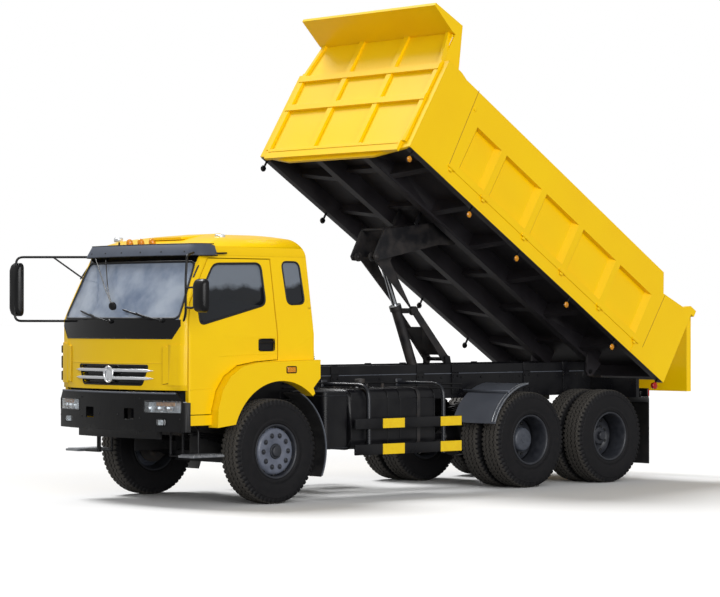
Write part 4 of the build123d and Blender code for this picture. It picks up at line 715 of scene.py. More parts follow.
def front_bar(half, z, height, depth, proud, taper=None):
    """A bar along the bow; its ends run to a point where taper says so."""
    y = np.linspace(-half, half, 60)
    scales = np.ones(60) if taper is None else np.clip((half - np.abs(y)) / taper, 0.06, 1)
    return carried(round_box(depth, height, min(depth, height) * 0.4),
                   on_front(np.stack([y, np.full(60, z)], 1), proud), (0, 0, 1), scales)


piece("grille_backing", grille_back(), GLOSS, "cab", "grille")
piece("grille_slats", joined(*[front_bar(0.49 + 0.085 * (z - 1.236) / 0.203, z, 0.011, 0.02, -0.02)
                               for z in np.arange(1.255, 1.435, 0.0265)]), PLASTIC, "cab", "grille")
piece("grille_bars", joined(*[front_bar(0.655, z, 0.034, 0.024, 0.006, 0.10) for z in (1.305, 1.385)]),
      CHROME, "cab", "grille", 40)
piece("grille_frame", bead(on_front(loop(
    [(0.492, 1.237), (0.577, 1.438), (-0.577, 1.438), (-0.492, 1.237)], 0.03), -0.002), 0.009, 10),
      PLASTIC, "cab", "grille", 40)
ellipse = np.linspace(0, 2 * np.pi, 49)
piece("boss_ring", carried(ring(0.010, 12), np.stack([np.full(49, FRONT + 1.306), 0.072 * np.cos(ellipse),
                                                      BOSS_Z + 0.080 * np.sin(ellipse)], 1), (1, 0, 0)),
      CHROME, "cab", "grille", 40)


def boss_dome():
    """A plain oval dome: height 16 mm * (1 - r * r) over an oval of 68 by 76 mm."""
    r, a = np.meshgrid(np.linspace(0, 1, 9), np.linspace(0, 2 * np.pi, 48, endpoint=False), indexing="ij")
    x = FRONT + 1.292 + 0.016 * (1 - r * r)
    grid = np.stack([x, 0.068 * r * np.cos(a), BOSS_Z + 0.076 * r * np.sin(a)], -1)
    return grid.reshape(-1, 3), [tuple(f) for f in quads(9, 48, wrap_cols=True)]


piece("boss_dome", boss_dome(), BRIGHT, "cab", "grille", 60)
piece("boss_post", spun([(-0.05, 0), (-0.05, 0.05), (0.002, 0.05), (0.002, 0)], at(1.292, 0, BOSS_Z),
                        (1, 0, 0), 32), PLASTIC, "cab", "grille", 40)

# slots between the far corner's deflector and the panel, drawn as black bars: painted shade of the openings
piece("deflector_slot_shades", joined(*[bar(at(1.128, -1.024, z0), at(1.128, -1.024, z1), 0.016, 0.05, 0.006,
                                      (0, 1, 0)) for z0, z1 in ((1.26, 1.36), (1.39, 1.52), (1.55, 1.63))]),
      SEAL, "cab")


def wiper(pivot, tip):
    """A wiper at rest: sprung arm, bridge and blade over the glass, with its pivot cap."""
    pivot, tip = np.asarray(pivot, float), np.asarray(tip, float)
    run = np.linspace(0, 1, 14)[:, None]
    arm = on_front(pivot + (tip - pivot) * run * 0.62, 0.0)
    arm[:, 0] += 0.022 + 0.022 * np.sin(run[:, 0] * np.pi)
    across = (tip - pivot) / np.linalg.norm(tip - pivot)
    lift = np.array([-across[1], across[0]])
    blade = on_front(pivot + (tip - pivot) * (0.22 + 0.78 * run) + lift * 0.012, 0.014)
    cap = on_front([pivot], 0.0)[0]
    return joined(carried(round_box(0.010, 0.016, 0.003), arm, (0, 0, 1)),
                  carried(round_box(0.012, 0.018, 0.004), blade, (0, 0, 1),
                          np.clip(np.minimum(np.arange(14), np.arange(14)[::-1]) * 0.5 + 0.5, 0, 1)),
                  spun([(-0.01, 0.0), (-0.01, 0.022), (0.026, 0.020), (0.034, 0.012), (0.034, 0)], cap,
                       (1, 0, 0.2), 16))


piece("wipers", joined(wiper((0.018, 1.883), (-0.63, 2.01)), wiper((0.766, 1.894), (0.155, 2.02))), PLASTIC,
      "cab")

# ---------------------------------------------------------------- visor, roof and mirrors
# plan of the visor: a bow with round corners, and how its shade leans
VISOR_BACK = -2.497
turn = np.radians(np.linspace(90, 14, 9))
corner = np.stack([0.763 + 0.15 * np.cos(turn), 0.795 + 0.15 * np.sin(turn)], 1)
bow = np.linspace(0.79, -0.79, 41)
plan = np.concatenate([[(0.650, 0.942), (0.70, 0.945)], corner,
                       np.stack([np.sqrt(BOW ** 2 - bow ** 2) + VISOR_BACK, bow], 1),
                       corner[::-1] * (1, -1), [(0.70, -0.945), (0.650, -0.942)]])
lean = (0, -0.42, 0.91)


def visor_run(reach, z):
    """The visor's plan at a height: its outline pushed outwards by the reach."""
    path = fine(plan, 0.03)
    ahead = np.gradient(path, axis=0)
    ahead /= np.linalg.norm(ahead, axis=1, keepdims=True)
    return np.stack([FRONT + path[:, 0] + reach * -ahead[:, 1], path[:, 1] + reach * ahead[:, 0],
                     np.full(len(path), z)], 1)


shade = visor_run(0.0, 2.620)
ends = np.minimum(np.arange(len(shade)), np.arange(len(shade))[::-1])
piece("sun_visor_shell", carried(round_box(0.009, 0.136, 0.004), shade, lean,
                                 np.clip(ends * 0.1 + 0.72, 0, 1)), SMOKED, "cab", "sun_visor", 40)
piece("sun_visor_rims", joined(bead(visor_run(0.029, 2.560), 0.006), bead(visor_run(-0.028, 2.681))),
      PLASTIC, "cab", "sun_visor", 40)
piece("sun_visor_stays", joined(
    *[bar(at(0.56, y, 2.645), at(0.965 if y == 0 else 0.895, y, 2.63), 0.03, 0.016, 0.004)
      for y in (-0.7, 0.0, 0.7)],
    *[bar(at(0.505, s * 0.940, 2.588), at(0.70, s * 0.950, 2.580), 0.03, 0.018, 0.005) for s in (1, -1)]),
      PLASTIC, "cab", "sun_visor", 40)
piece("visor_bolts", studded(
    lambda y: spun([(0, 0), (0, 0.010), (0.006, 0.008), (0.008, 0)],
                   at(float(np.sqrt(BOW ** 2 - y * y)) + VISOR_BACK + 0.013, y, 2.600), (1, 0, 0.45), 10),
    (-0.78, -0.47, -0.16, 0.16, 0.47, 0.78)), SEAL, "cab")


def marker(centre):
    """A dome lamp on a short foot, 72 mm across."""
    radius, height = 0.036, 0.05
    return spun([(-0.045, 0.016), (-0.02, 0.018), (-0.012, radius), (0, radius),
                 (height * 0.5, radius * 0.92), (height * 0.85, radius * 0.6), (height, 0)], centre,
                (0.25, 0, 1), 24)


piece("roof_markers", studded(lambda y: marker(at(0.865, y - 0.02, 2.700)), (-0.19, 0.0, 0.19)), AMBER,
      "cab", "roof_lamps", 40)
piece("roof_marker_feet", studded(lambda y: bar(at(0.865, y - 0.06, 2.672), at(0.865, y + 0.02, 2.672),
                                                0.07, 0.03, 0.008), (-0.19, 0.0, 0.19)), PLASTIC, "cab",
      "roof_lamps", 40)
piece("roof_end_lamps", joined(bar(at(0.83, -0.50, 2.745), at(0.83, -0.40, 2.745), 0.07, 0.05, 0.016),
                               bar(at(0.36, 0.60, 2.772), at(0.36, 0.72, 2.764), 0.07, 0.045, 0.016)),
      BRIGHT, "cab", "roof_lamps", 40)
piece("roof_lamp_stems", joined(tube([at(0.82, -0.45, 2.62), at(0.82, -0.45, 2.74)], 0.010),
                                tube([at(0.36, 0.66, 2.70), at(0.36, 0.66, 2.76)], 0.012),
                                tube([at(0.37, 0.70, 2.745), at(0.46, 0.76, 2.735), at(0.60, 0.80, 2.66),
                                      at(0.70, 0.84, 2.60)], 0.0035, 0.03, 8)), PLASTIC, "cab",
      "roof_lamps", 40)

# low roof hatch: a rounded plate that follows the slope of the roof
piece("roof_hatch", bar(at(0.02, 0, 2.802), at(0.56, 0, 2.752), 0.56, 0.028, 0.012), ENAMEL, "cab")

# the frame of each mirror: from the visor's end out and down, and back to the pillar's foot
far_frame = joined(
    tube([at(0.88, -0.93, 2.572), at(1.44, -1.44, 2.572), at(1.46, -1.445, 2.20), at(1.46, -1.44, 1.89),
          at(1.125, -1.015, 1.89)], 0.013, 0.07),
    tube([at(1.15, -1.178, 2.572), at(0.93, -0.945, 2.345)], 0.009),
    tube([at(1.0, -0.62, 2.545), at(1.20, -0.20, 2.24), at(1.345, 0.10, 2.065)], 0.006, 0.05),
    tube([at(1.02, -0.42, 2.53), at(1.18, -0.18, 2.24), at(1.345, 0.10, 2.065)], 0.006, 0.05),
    spun([(0, 0), (0, 0.045), (0.02, 0.04), (0.03, 0.025), (0.032, 0)], at(1.345, 0.13, 2.045),
         (1, 0.3, -0.25), 24))
near_frame = joined(
    tube([at(0.95, 0.955, 2.585), at(1.09, 1.02, 2.56), at(1.135, 1.055, 2.30), at(1.13, 1.05, 1.96),
          at(1.118, 1.0, 1.885)], 0.012, 0.05),
    tube([at(1.132, 1.05, 2.03), at(1.16, 1.20, 2.02), at(1.20, 1.32, 2.06)], 0.012, 0.05),
    tube([at(1.132, 1.05, 2.22), at(1.17, 1.20, 2.23), at(1.20, 1.32, 2.22)], 0.010, 0.05))
piece("mirror_frames", joined(far_frame, near_frame), PLASTIC, "cab", "mirrors", 40)


HEAD_DEPTH = 0.085


def mirror_shell(centre, width, height):
    """A mirror head: a rounded outline that swells forwards from the glass."""
    centre = np.asarray(centre, float)
    run = np.array([0, 0.04, 0.35, 0.62, 0.82, 0.94, 1.0])
    path = centre + np.array([[1.0, 0, 0]]) * (run[:, None] - 0.5) * HEAD_DEPTH
    outline = round_box(width, height, 0.055, 6)
    return carried(outline, path, (0, 0, 1), (0.95, 1, 1, 0.95, 0.84, 0.66, 0.4))


def mirror_glass(centre, width, height):
    """The silvered face at the back of a head."""
    start = np.asarray(centre, float) - (HEAD_DEPTH * 0.5 + 0.001, 0, 0)
    return carried(round_box(width, height, 0.05, 6), [start, start - (0.002, 0, 0), start - (0.003, 0, 0)])


HEADS = ((at(1.21, 1.375, 2.145), 0.19, 0.335), (at(1.43, -1.465, 2.225), 0.185, 0.57))
piece("mirror_heads", joined(*[mirror_shell(*head) for head in HEADS]), PLASTIC, "cab", "mirrors", 40)
piece("mirror_faces", joined(*[mirror_glass(c, w - 0.03, h - 0.03) for c, w, h in HEADS]), MIRROR, "cab",
      "mirrors", 40)

# ---------------------------------------------------------------- cab sides
DOOR_WINDOW = ((0.935, 2.09), (0.672, 2.478), (0.04, 2.49), (0.025, 2.06), (0.925, 1.85))
QUARTER = ((-0.25, 2.51), (-0.49, 2.51), (-0.515, 2.07), (-0.275, 2.06))
for side, word in SIDES:
    door = f"door_{word}"
    piece(f"{door}_seal", bead(on_side(loop(DOOR_WINDOW, 0.075), side, -0.002), 0.011, 10), SEAL, door)
    piece(f"quarter_seal_{word}", bead(on_side(loop(QUARTER, 0.07), side, -0.002), 0.010, 10), SEAL, "cab")
    # recessed handle: a black bowl with a pull bar across its top
    bowl_run = loop(((-0.052, 1.582), (0.161, 1.582), (0.161, 1.704), (-0.052, 1.704)), 0.045)
    piece(f"{door}_handle", joined(
        bar(at(0.0545, side * 1.0355, 1.643), at(0.0545, side * 1.0385, 1.643), 0.214, 0.122, 0.03),
        bead(at(0, 0, 0) + np.array([(x, side * 1.051, z) for x, z in bowl_run])),
        bar(at(-0.045, side * 1.050, 1.672), at(0.154, side * 1.050, 1.672), 0.034, 0.016, 0.006)),
          PLASTIC, door)
    piece(f"{door}_creases", joined(
        bead(on_side(fine([(0.70, 1.530), (-0.07, 1.552)]), side, -0.003)),
        bead(on_side(fine([(1.07, 1.195), (0.79, 1.205)]), side, -0.003))), ENAMEL, door)
    piece(f"pillar_slit_{word}", bar(on_side([(0.868, 2.46)], side, -0.001)[0],
                                     on_side([(0.955, 2.335)], side, -0.001)[0], 0.016, 0.012, 0.004), SEAL,
          "cab")
    # amber side marker in its frame on the fender
    piece(f"fender_marker_{word}", bar(at(-0.193, side * 1.150, 1.385), at(-0.193, side * 1.166, 1.385),
                                       0.115, 0.055, 0.006), AMBER, "cab")
    frame_run = loop(((-0.258, 1.353), (-0.129, 1.353), (-0.129, 1.417), (-0.258, 1.417)), 0.012)
    piece(f"fender_marker_frame_{word}", bead(np.array([
        (FRONT + x, side * 1.158, z) for x, z in frame_run]), 0.006), PLASTIC, "cab")
    # grey edge of the arch liner behind the wheel
    arc = np.radians(np.linspace(120, 204, 30))
    piece(f"liner_edge_{word}", carried(round_box(0.010, 0.034, 0.004), arch(FRONT, side * 1.150, 0.676, arc),
                                        (0, 1, 0)), GUARD, "chassis")
    # corrugated air intake behind the cab's corner
    if side > 0:
        snorkel = at(0, 0, 0) + smooth_path([(-0.66, 0.86, 1.25), (-0.70, 0.88, 1.42), (-0.69, 0.86, 1.66)],
                                            0.05, 8)
        snorkel = fine(snorkel, 0.006)
        piece("air_intake", carried(ring(0.055, 20), snorkel, (0, 1, 0),
                                    0.92 + 0.08 * np.cos(np.arange(len(snorkel)) * 2 * np.pi / 4)), FLAP,
              "chassis")

# ---------------------------------------------------------------- seats
def swollen(shape, cap):
    """Cloth blown up by a small pressure from a closed shape, no point moving further than the cap."""
    mesh = bpy.data.meshes.new("pad")
    mesh.from_pydata(shape[0].tolist(), [], [tuple(int(i) for i in f) for f in shape[1]])
    pad = bpy.data.objects.new("pad", mesh)
    scene = bpy.context.scene
    scene.collection.objects.link(pad)
    even = pad.modifiers.new("even", "REMESH")
    even.mode, even.voxel_size = "VOXEL", 0.006
    settled = bpy.data.meshes.new_from_object(pad.evaluated_get(bpy.context.evaluated_depsgraph_get()))
    pad.modifiers.clear()
    pad.data = settled
    start = places_of(settled)
    faces = [tuple(f.vertices) for f in settled.polygons]
    points = start
    cloth = pad.modifiers.new("air", "CLOTH")
    cloth.settings.use_pressure = True
    cloth.settings.uniform_pressure_force = 4
    cloth.settings.effector_weights.gravity = 0
    for number in range(1, 21):
        scene.frame_set(number)
    blown = pad.evaluated_get(bpy.context.evaluated_depsgraph_get()).data
    moved = places_of(blown) - start
    far = np.linalg.norm(moved, axis=1, keepdims=True)
    points = start + moved * np.minimum(1, cap / np.maximum(far, 1e-9))
    scene.frame_set(1)
    bpy.data.objects.remove(pad)
    return points, faces


def pad_start(foot, head, width, depth, up):
    """A rounded slab from foot to head, drawn in at both ends: where a cushion starts from."""
    foot, head = np.asarray(foot, float), np.asarray(head, float)
    run = np.array([0, 0.04, 0.12, 0.3, 0.5, 0.7, 0.88, 0.96, 1])[:, None]
    return carried(round_box(width, depth, min(width, depth) * 0.42, 5), foot + (head - foot) * run, up,
                   (0.72, 0.88, 0.97, 1, 1.02, 1, 0.97, 0.88, 0.72))


SEAT_Y = 0.6475
BASE = pad_start(at(-0.035, 0, 1.610), at(0.360, 0, 1.612), 0.415, 0.096, (0, 0, 1))
BACK = pad_start(at(-0.070, 0, 1.700), at(-0.160, 0, 2.215), 0.415, 0.088, (1, 0, 0.17))
PADS = {"base": swollen(BASE, 0.016), "back": swollen(BACK, 0.014)}
for side, word in SIDES:
    for part, (points, faces) in PADS.items():
        cushion = piece(f"seat_{part}_{word}", (points + (0, side * SEAT_Y, 0), faces), CLOTH, "cab",
                        "seats", 60)
        round_off = cushion.modifiers.new("round_off", "SUBSURF")
        round_off.levels = round_off.render_levels = 1
    # piping sewn round the edge of each base
    seam = np.array([(FRONT + x, side * SEAT_Y + y, 1.622) for x, y in loop(
        ((0.372, 0.20), (-0.045, 0.20), (-0.045, -0.20), (0.372, -0.20)), 0.07)])
    piece(f"seat_piping_{word}", bead(seam), SEAL, "cab", "seats", 40)
    # pressed pan and runners below, hinge plates up to the back
    piece(f"seat_frame_{word}", joined(
        bar(at(-0.05, side * SEAT_Y, 1.553), at(0.36, side * SEAT_Y, 1.553), 0.42, 0.014, 0.005),
        *[bar(at(-0.055, side * SEAT_Y + y, 1.60), at(-0.13, side * SEAT_Y + y, 1.90), 0.012, 0.05, 0.004)
          for y in (-0.216, 0.216)]), PLASTIC, "cab", "seats", 40)

# ---------------------------------------------------------------- bumper lamps
# each headlamp: three bowls with their bulbs under one lens, and a fog lamp below
bowls, lenses, ambers, trims, backs = [], [], [], [], []
for side in (1, -1):
    lenses.append(sheet_on(bumper_x, side * 0.550, side * 1.015, 0.960, 1.075, 0.006, 0.004))
    backs.append(sheet_on(bumper_x, side * 0.550, side * 1.015, 0.960, 1.075, 0.066, 0.004))
    for y, r in ((0.635, 0.050), (0.755, 0.050), (0.862, 0.044)):
        x = float(bumper_x(y))
        bowls.append(spun([(-0.058, 0.0), (-0.056, r * 0.35), (-0.046, r * 0.7), (-0.022, r),
                           (-0.018, r * 1.04)], at(x, side * y, HEADLAMP_Z), (1, 0, 0), 28))
        bowls.append(spun([(-0.056, 0.0), (-0.056, 0.010), (-0.034, 0.010), (-0.030, 0.0)],
                          at(x, side * y, HEADLAMP_Z), (1, 0, 0), 14))
    ambers.append(sheet_on(bumper_x, side * 0.700, side * 0.930, 1.030, 1.069, 0.014, 0.006))
    trims.append(bead(on_front(loop([(side * 0.548, 0.958), (side * 1.017, 0.958), (side * 1.017, 1.077),
                                     (side * 0.548, 1.077)], 0.012), -0.001, bumper_x), 0.006))
    fog = at(float(bumper_x(0.76)), side * 0.76, 0.865)
    bowls.append(bar(fog - (0.02, 0, 0), fog + (0.004, 0, 0), 0.142, 0.062, 0.018))
    lenses.append(bar(fog + (0.0045, 0, 0), fog + (0.010, 0, 0), 0.138, 0.058, 0.018))
    trims.append(bead(fog + np.array([(0.004, y, z) for y, z in loop(
        ((-0.072, -0.032), (0.072, -0.032), (0.072, 0.032), (-0.072, 0.032)), 0.03)])))
piece("headlamp_lenses", joined(*lenses), LENS, "chassis", "bumper_lamps")
piece("headlamp_bowls", joined(*bowls, *backs), BRIGHT, "chassis", "bumper_lamps")
piece("headlamp_ambers", joined(*ambers), AMBER, "chassis", "bumper_lamps")
piece("headlamp_trims", joined(*trims), PLASTIC, "chassis", "bumper_lamps")
# a grey ridge along the bumper's top, lighter than the black bumper: painted highlight
piece("bumper_top_highlight", carried(round_box(0.016, 0.018, 0.006),
                                 on_front(fine([(-0.955, 1.158), (0.955, 1.158)]), 0.0, bumper_x)), GUARD,
      "chassis")
piece("bumper_bolts", studded(
    lambda p: spun([(-0.002, 0), (-0.002, 0.011), (0.006, 0.009), (0.008, 0)],
                   at(float(bumper_x(p[0])), p[0], p[1]), (1, 0, 0), 10),
    [(s * y, z) for s in (1, -1) for y, z in ((0.16, 0.93), (0.49, 0.90), (0.49, 1.10), (1.0, 0.90))]),
      SEAL, "chassis")
# entry steps: a ribbed plate a side, on two bracketed hangers and a strut
treads, hangers, sheets = [], [], []
for side in (1, -1):
    treads.append(bar(at(0.645, side * TREAD_Y, 0.518), at(1.055, side * TREAD_Y, 0.518), 0.250, 0.024,
                      0.006))
    treads += [bar(at(x, side * 0.845, 0.533), at(x, side * 1.070, 0.533), 0.012, 0.010, 0.003)
               for x in np.arange(0.665, 1.05, 0.03)]
    for x in (0.80, 0.96):
        hangers.append(bar(at(x, side * 0.60, 0.52), at(x, side * 0.60, 1.075), 0.020, 0.020))
        hangers.append(bar(at(x, side * 0.592, 0.512), at(x, side * 0.850, 0.512), 0.040, 0.014))
    hangers.append(tube([at(0.80, side * 0.60, 0.90), at(0.80, side * 0.848, 0.80),
                         at(0.80, side * 0.848, 0.525)], 0.011))
    hangers.append(bar(at(0.79, side * 0.52, 1.07), at(0.97, side * 0.52, 1.07), 0.17, 0.016))
    sheets.append(bar(at(0.13, side * 0.462, 0.68), at(0.60, side * 0.462, 0.68), 0.008, 0.34, 0.003))
piece("entry_step_treads", joined(*treads), STEEL, "chassis", "entry_steps")
piece("entry_step_hangers", joined(*hangers), CHASSIS, "chassis", "entry_steps", 40)
# rubber sheets that keep road spray off the engine, inboard of the front wheels
piece("splash_sheets", joined(*sheets), FLAP, "chassis")

# ---------------------------------------------------------------- chassis sides
rails, posts = [], []
for side in (1, -1):
    for z in (0.520, 0.795):
        rails.append(bar(at(-1.06, side * 1.187, z), at(-2.65, side * 1.187, z), 0.026, 0.112, 0.006))
    for x in (-1.295, -2.410):
        posts.append(tube([at(x, side * 0.432, 1.205), at(x, side * 1.152, 1.205),
                           at(x, side * 1.152, 0.445)], 0.021, 0.16, 16))
        posts.append(bar(at(x, side * FRAME_Y, 1.205), at(x, side * 0.446, 1.205), 0.09, 0.09, 0.006))
piece("guard_rails", joined(*rails), CHASSIS, "chassis", "side_guards")
piece("guard_posts", joined(*posts), TUBE, "chassis", "side_guards", 40)


def strap(x, y0, y1, z0, z1, corner, width=0.045):
    """A band round a tank: a flat section carried round its rounded outline."""
    path = loop(((y0, z0), (y1, z0), (y1, z1), (y0, z1)), corner, 0.03)
    return carried(round_box(0.008, width, 0.003), np.array([(FRONT + x, y, z) for y, z in path]), (1, 0, 0))


piece("tank_straps", joined(*[strap(x, 0.451, 1.104, 0.516, 1.164, 0.11) for x in (-1.33, -2.08)]), HOIST,
      "chassis")
piece("tank_seams", joined(*[strap(x, 0.453, 1.102, 0.518, 1.162, 0.11, 0.012)
                             for x in (-1.09, -1.62, -1.80, -2.32)]), CHASSIS, "chassis")
fittings = [tube([at(-1.30 - 0.2 * k, 0.60 + 0.04 * k, 1.155), at(-1.30 - 0.2 * k, 0.60 + 0.04 * k, 1.205)],
                 0.016) for k in range(4)]
fittings += [spun([(0, 0.054), (0.035, 0.056), (0.045, 0.05), (0.05, 0)], at(-1.58, 0.70, 1.215), (0, 0, 1),
                  24)]
fittings += [tube([at(-1.10, 0.50, 1.16), at(-1.10, 0.50, 1.27), at(-1.10, 0.44, 1.27)], 0.007, 0.03)]
piece("tank_fittings", joined(*fittings), CASTING, "chassis")

# lid, foot and front edge of the air tank case: plan, height and radius of each bead
CASE = ((-0.700, 1.100), (-1.055, 1.100), (-1.055, 0.530), (-0.700, 0.530))
EDGE = ((-0.698, 1.102), (-1.057, 1.102), (-1.057, 0.528), (-0.698, 0.528))
piece("case_rims", joined(*[
    bead(np.array([(FRONT + x, y, z) for x, y in loop(outline, 0.06)]), radius)
    for outline, z, radius in ((CASE, 0.545, 0.006), (CASE, 1.138, 0.006), (EDGE, 1.100, 0.005))]),
      TUBE, "chassis")

# bolts of the cross members, clamps of the subframe and the brake lines along both rails
bolts, clamps, lines = [], [], []
for side in (1, -1):
    for x in np.arange(0.75, -5.6, -0.32):
        bolts += [hex_head(at(x, side * FRAME_Y, z), (0, side, 0), 0.013, 0.010) for z in (1.055, 1.245)]
    for x in (-1.45, -2.75, -3.30, -4.48, -5.15):
        clamps.append(bar(at(x, side * 0.428, 1.18), at(x, side * 0.446, 1.18), 0.11, 0.25, 0.006))
        clamps += [hex_head(at(x + dx, side * 0.446, z), (0, side, 0), 0.014, 0.012) for dx in (-0.035, 0.035)
                   for z in (1.10, 1.26)]
        clamps.append(bar(at(x, side * 0.420, 1.345), at(x, side * 0.438, 1.345), 0.10, 0.12, 0.006))
    lines.append(tube([at(-0.7, side * 0.445, 1.22), at(-2.1, side * 0.445, 1.21),
                       at(-3.4, side * 0.445, 1.17)], 0.009))
    lines.append(tube([at(-0.7, side * 0.445, 1.17), at(-2.1, side * 0.445, 1.165),
                       at(-3.4, side * 0.445, 1.12)], 0.008))
piece("rail_bolts", joined(*bolts), CHASSIS, "chassis", angle=40)
piece("subframe_clamps", joined(*clamps), CHASSIS, "chassis", angle=40)
piece("brake_lines", joined(*lines), SEAL, "chassis", angle=40)
# a thin grey strip along the joint of rail and subframe, lighter than both: painted highlight
piece("rail_joint_highlight", mirrored(
    lambda side: bar(at(-0.80, side * 0.429, 1.291), at(-5.60, side * 0.429, 1.291), 0.006, 0.008, 0.002)),
      GUARD, "chassis")

# rolled steel edge round the outer mudguards, drawn as two light steel beads that stand for its highlights:
# partly painted highlight
arc = np.radians(np.linspace(20, 84, 30))
edges = [carried(ring(0.005, 10), arch(MIDDLE, side * y, 0.646, arc), (0, 1, 0))
         for side in (1, -1) for y in (1.168, 1.120)]
piece("mudguard_edge_highlights", joined(*edges), STEEL, "chassis")

# rear lamps: a shell a side with a red and an amber moulding, and a red one that shows sideways
reds, ambers, shells = [], [], []
for side in (1, -1):
    x = REAR - FRONT - 0.645
    shells.append(bar(at(x, side * 1.06, REAR_LAMP_Z), at(x - 0.026, side * 1.06, REAR_LAMP_Z), 0.20, 0.105,
                      0.008))
    shells.append(bar(at(x + 0.02, side * 1.03, 1.02), at(x - 0.002, side * 1.03, 1.02), 0.06, 0.075, 0.004))
    reds.append(bar(at(x - 0.0262, side * 1.015, REAR_LAMP_Z), at(x - 0.035, side * 1.015, REAR_LAMP_Z),
                    0.092, 0.092, 0.008))
    ambers.append(bar(at(x - 0.0262, side * 1.108, REAR_LAMP_Z), at(x - 0.035, side * 1.108, REAR_LAMP_Z),
                      0.088, 0.092, 0.008))
    reds.append(bar(at(x - 0.012, side * 1.1605, REAR_LAMP_Z), at(x - 0.012, side * 1.166, REAR_LAMP_Z),
                    0.02, 0.08, 0.004))
piece("rear_lamp_shells", joined(*shells), PLASTIC, "chassis", "rear_lamps")
piece("rear_lamp_reds", joined(*reds), RED, "chassis", "rear_lamps")
piece("rear_lamp_ambers", joined(*ambers), AMBER, "chassis", "rear_lamps")

# pressed carriers that reach from the chassis rails to the rear lamps
piece("lamp_carriers", mirrored(
    lambda side: bar(at(-5.612, side * 0.436, 1.098), at(-5.612, side * 1.165, 1.098), 0.05, 0.224)),
      CHASSIS, "chassis")

# ---------------------------------------------------------------- bed and hoist
RIBS = (1.430, 2.180, 2.910, 3.680)
hooks, stems, shells, domes, tails = [], [], [], [], []
for side in (1, -1):
    for u in (0.70, *RIBS, 4.28):
        hooks.append(bar(on_bed(u - 0.060, side * 1.243, 0.160), on_bed(u + 0.060, side * 1.243, 0.160),
                         0.024, 0.030, 0.005))
        hooks.append(bar(on_bed(u - 0.020, side * 1.241, 0.128), on_bed(u + 0.030, side * 1.241, 0.128),
                         0.020, 0.030, 0.005))
    for u in (0.980, 1.900, 2.870, 3.760, 4.840):
        stems.append(bar(on_bed(u, side * 1.205, 0.0), on_bed(u, side * 1.205, -0.082), 0.016, 0.026, 0.004,
                         (0, 1, 0)))
        shells.append(spun([(-0.022, 0), (-0.020, 0.026), (-0.006, 0.036), (0.004, 0.037), (0.004, 0)],
                           on_bed(u, side * 1.208, -0.105), (0, side, 0), 24))
        domes.append(spun([(0.003, 0.034), (0.008, 0.034), (0.016, 0.026), (0.020, 0.012), (0.020, 0)],
                          on_bed(u, side * 1.208, -0.105), (0, side, 0), 24))
    tails.append(spun([(-0.03, 0), (-0.028, 0.034), (0.012, 0.042), (0.020, 0.028), (0.022, 0)],
                      on_bed(0.075, side * 1.19, -0.085), (0, side, 0), 24))
    stems.append(bar(on_bed(0.075, side * 1.19, 0.0), on_bed(0.075, side * 1.19, -0.06), 0.016, 0.026, 0.004,
                     (0, 1, 0)))
piece("bed_hooks", joined(*hooks), ENAMEL, "bed")
piece("bed_lamp_stems", joined(*stems, *shells), PLASTIC, "bed", "bed_lamps", 40)
piece("bed_lamp_domes", joined(*domes), AMBER, "bed", "bed_lamps", 40)
piece("bed_tail_lamps", joined(*tails), RED, "bed", "bed_lamps", 40)
# joints of the end posts, down each side, drawn as thin dark lines: painted shade
piece("post_seams", joined(*[
    bar(on_bed(u, side * 1.2388, v0), on_bed(u + over, side * 1.2388, v1), 0.005, 0.007, 0.002)
    for side in (1, -1) for u, over, v0, v1 in ((4.330, 0.049, 0.17, 1.130), (0.546, -0.019, 0.16, 0.900))]),
      SEAM_SHADE, "bed")
piece("latch_knobs", mirrored(
    lambda side: spun([(-0.004, 0), (-0.004, 0.024), (0.010, 0.020), (0.012, 0)],
                      on_bed(4.320, side * 1.2385, 0.916), (0, side, 0), 20)), ENAMEL, "bed")
# the side walls are black underneath and inboard, below the load floor
piece("side_wall_undersides", joined(*[
    bar(on_bed(0.02, side * y, v), on_bed(4.91, side * y, v), width, height, 0.002)
    for y, v, width, height in ((1.192, -0.004, 0.092, 0.006), (1.1465, 0.094, 0.005, 0.192))
    for side in (1, -1)]), UNDERSIDE, "bed")
# webs that close the canopy's gussets against the headboard
piece("canopy_webs", mirrored(
    lambda side: bar(on_bed(4.915, side * 1.054, 1.36), on_bed(4.915, side * 1.054, 1.52), 0.020, 0.050,
                     0.003, (0, 1, 0))), ENAMEL, "bed")
# weld line across the headboard's foot
piece("headboard_seam", bar(on_bed(4.971, -1.08, 0.028), on_bed(4.971, 1.08, 0.028), 0.006, 0.006, 0.002),
      ENAMEL, "bed")
foot, eye = np.array([-3.130, 1.170]), np.array([-2.550, 2.610])
along = (eye - foot) / np.linalg.norm(eye - foot)
end = foot + along * 0.965
piece("cylinder_gland", spun([(-0.05, 0.058), (-0.05, 0.066), (-0.004, 0.066), (0.004, 0.060),
                              (0.004, 0.034)], at(end[0], 0, end[1]), (along[0], 0, along[1]), 40), CHROME,
      "cylinder_barrel")

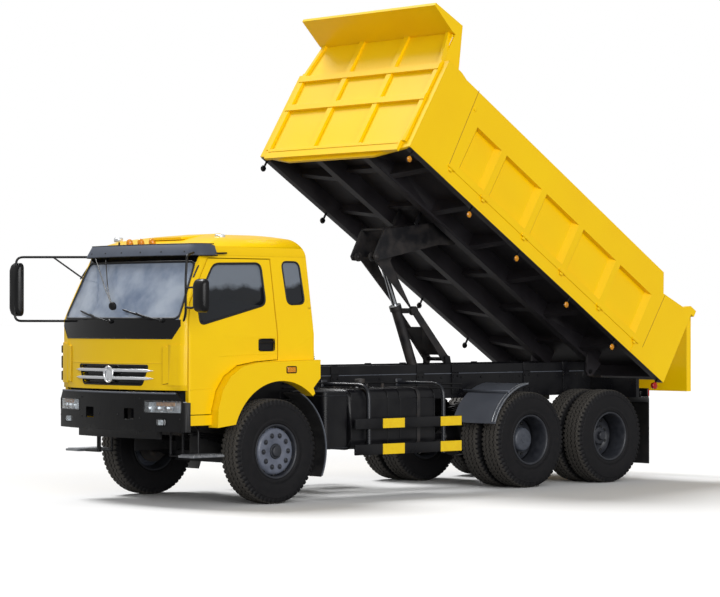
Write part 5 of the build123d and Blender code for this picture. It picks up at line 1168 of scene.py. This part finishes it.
# ---------------------------------------------------------------- floor, lights and camera
def stage():
    """A pale floor that runs to the horizon, a white sky, two wide soft suns and the camera."""
    scene = bpy.context.scene
    mesh = bpy.data.meshes.new("floor")
    mesh.from_pydata([(-400, -400, 0), (400, -400, 0), (400, 400, 0), (-400, 400, 0)], [], [(0, 1, 2, 3)])
    floor = bpy.data.objects.new("floor", mesh)
    scene.collection.objects.link(floor)
    # Seamless studio paper: matt white, lit up for the camera so that only shadows show.
    paper, tree = bare_material("studio_paper")
    ray = add(tree, "LightPath")
    shown = add(tree, "BsdfDiffuse", Color=linear("#e2e2e2"))
    bounce = add(tree, "BsdfDiffuse", Color=linear("#8c8c8c"))
    both = add(tree, "MixShader", {"Fac": ray.outputs["Is Camera Ray"], 1: bounce.outputs[0],
                                   2: shown.outputs[0]})
    add(tree, "OutputMaterial", {"Surface": both.outputs[0]})
    mesh.materials.append(paper)

    world = bpy.data.worlds.new("sky")
    scene.world = world
    world.use_nodes = True
    tree = world.node_tree
    tree.nodes.clear()
    ray = add(tree, "LightPath")
    seen = add(tree, "Math", {0: ray.outputs["Is Camera Ray"], 1: ray.outputs["Is Transmission Ray"]},
               operation="MAXIMUM")
    level = add(tree, "MapRange", {"Value": seen.outputs[0]}, To_Min=0.4, To_Max=1.0)
    sky = add(tree, "Background", {"Strength": level.outputs["Result"]}, Color=linear("#ffffff"))
    add(tree, "OutputWorld", {"Surface": sky.outputs[0]})

    for name, direction, strength, angle in (("key", (0.06, -0.54, 0.84), 3.2, 26),
                                             ("fill", (0.40, 0.90, 0.18), 2.7, 50)):
        light = bpy.data.lights.new(name, "SUN")
        light.energy = strength
        light.angle = radians(angle)
        lamp = bpy.data.objects.new(name, light)
        lamp.rotation_euler = Vector(direction).to_track_quat("Z", "Y").to_euler()
        scene.collection.objects.link(lamp)

    lens = bpy.data.cameras.new("camera")
    lens.lens, lens.sensor_fit, lens.sensor_width = 130.3, "HORIZONTAL", 36.0
    lens.clip_end = 2000
    camera = bpy.data.objects.new("camera", lens)
    camera.location = at(17.6506, 21.5063, 1.9252)
    camera.rotation_euler = (radians(90.421), 0, radians(-222.751))
    scene.collection.objects.link(camera)
    scene.camera = camera
    scene.view_settings.view_transform = "Standard"


stage()
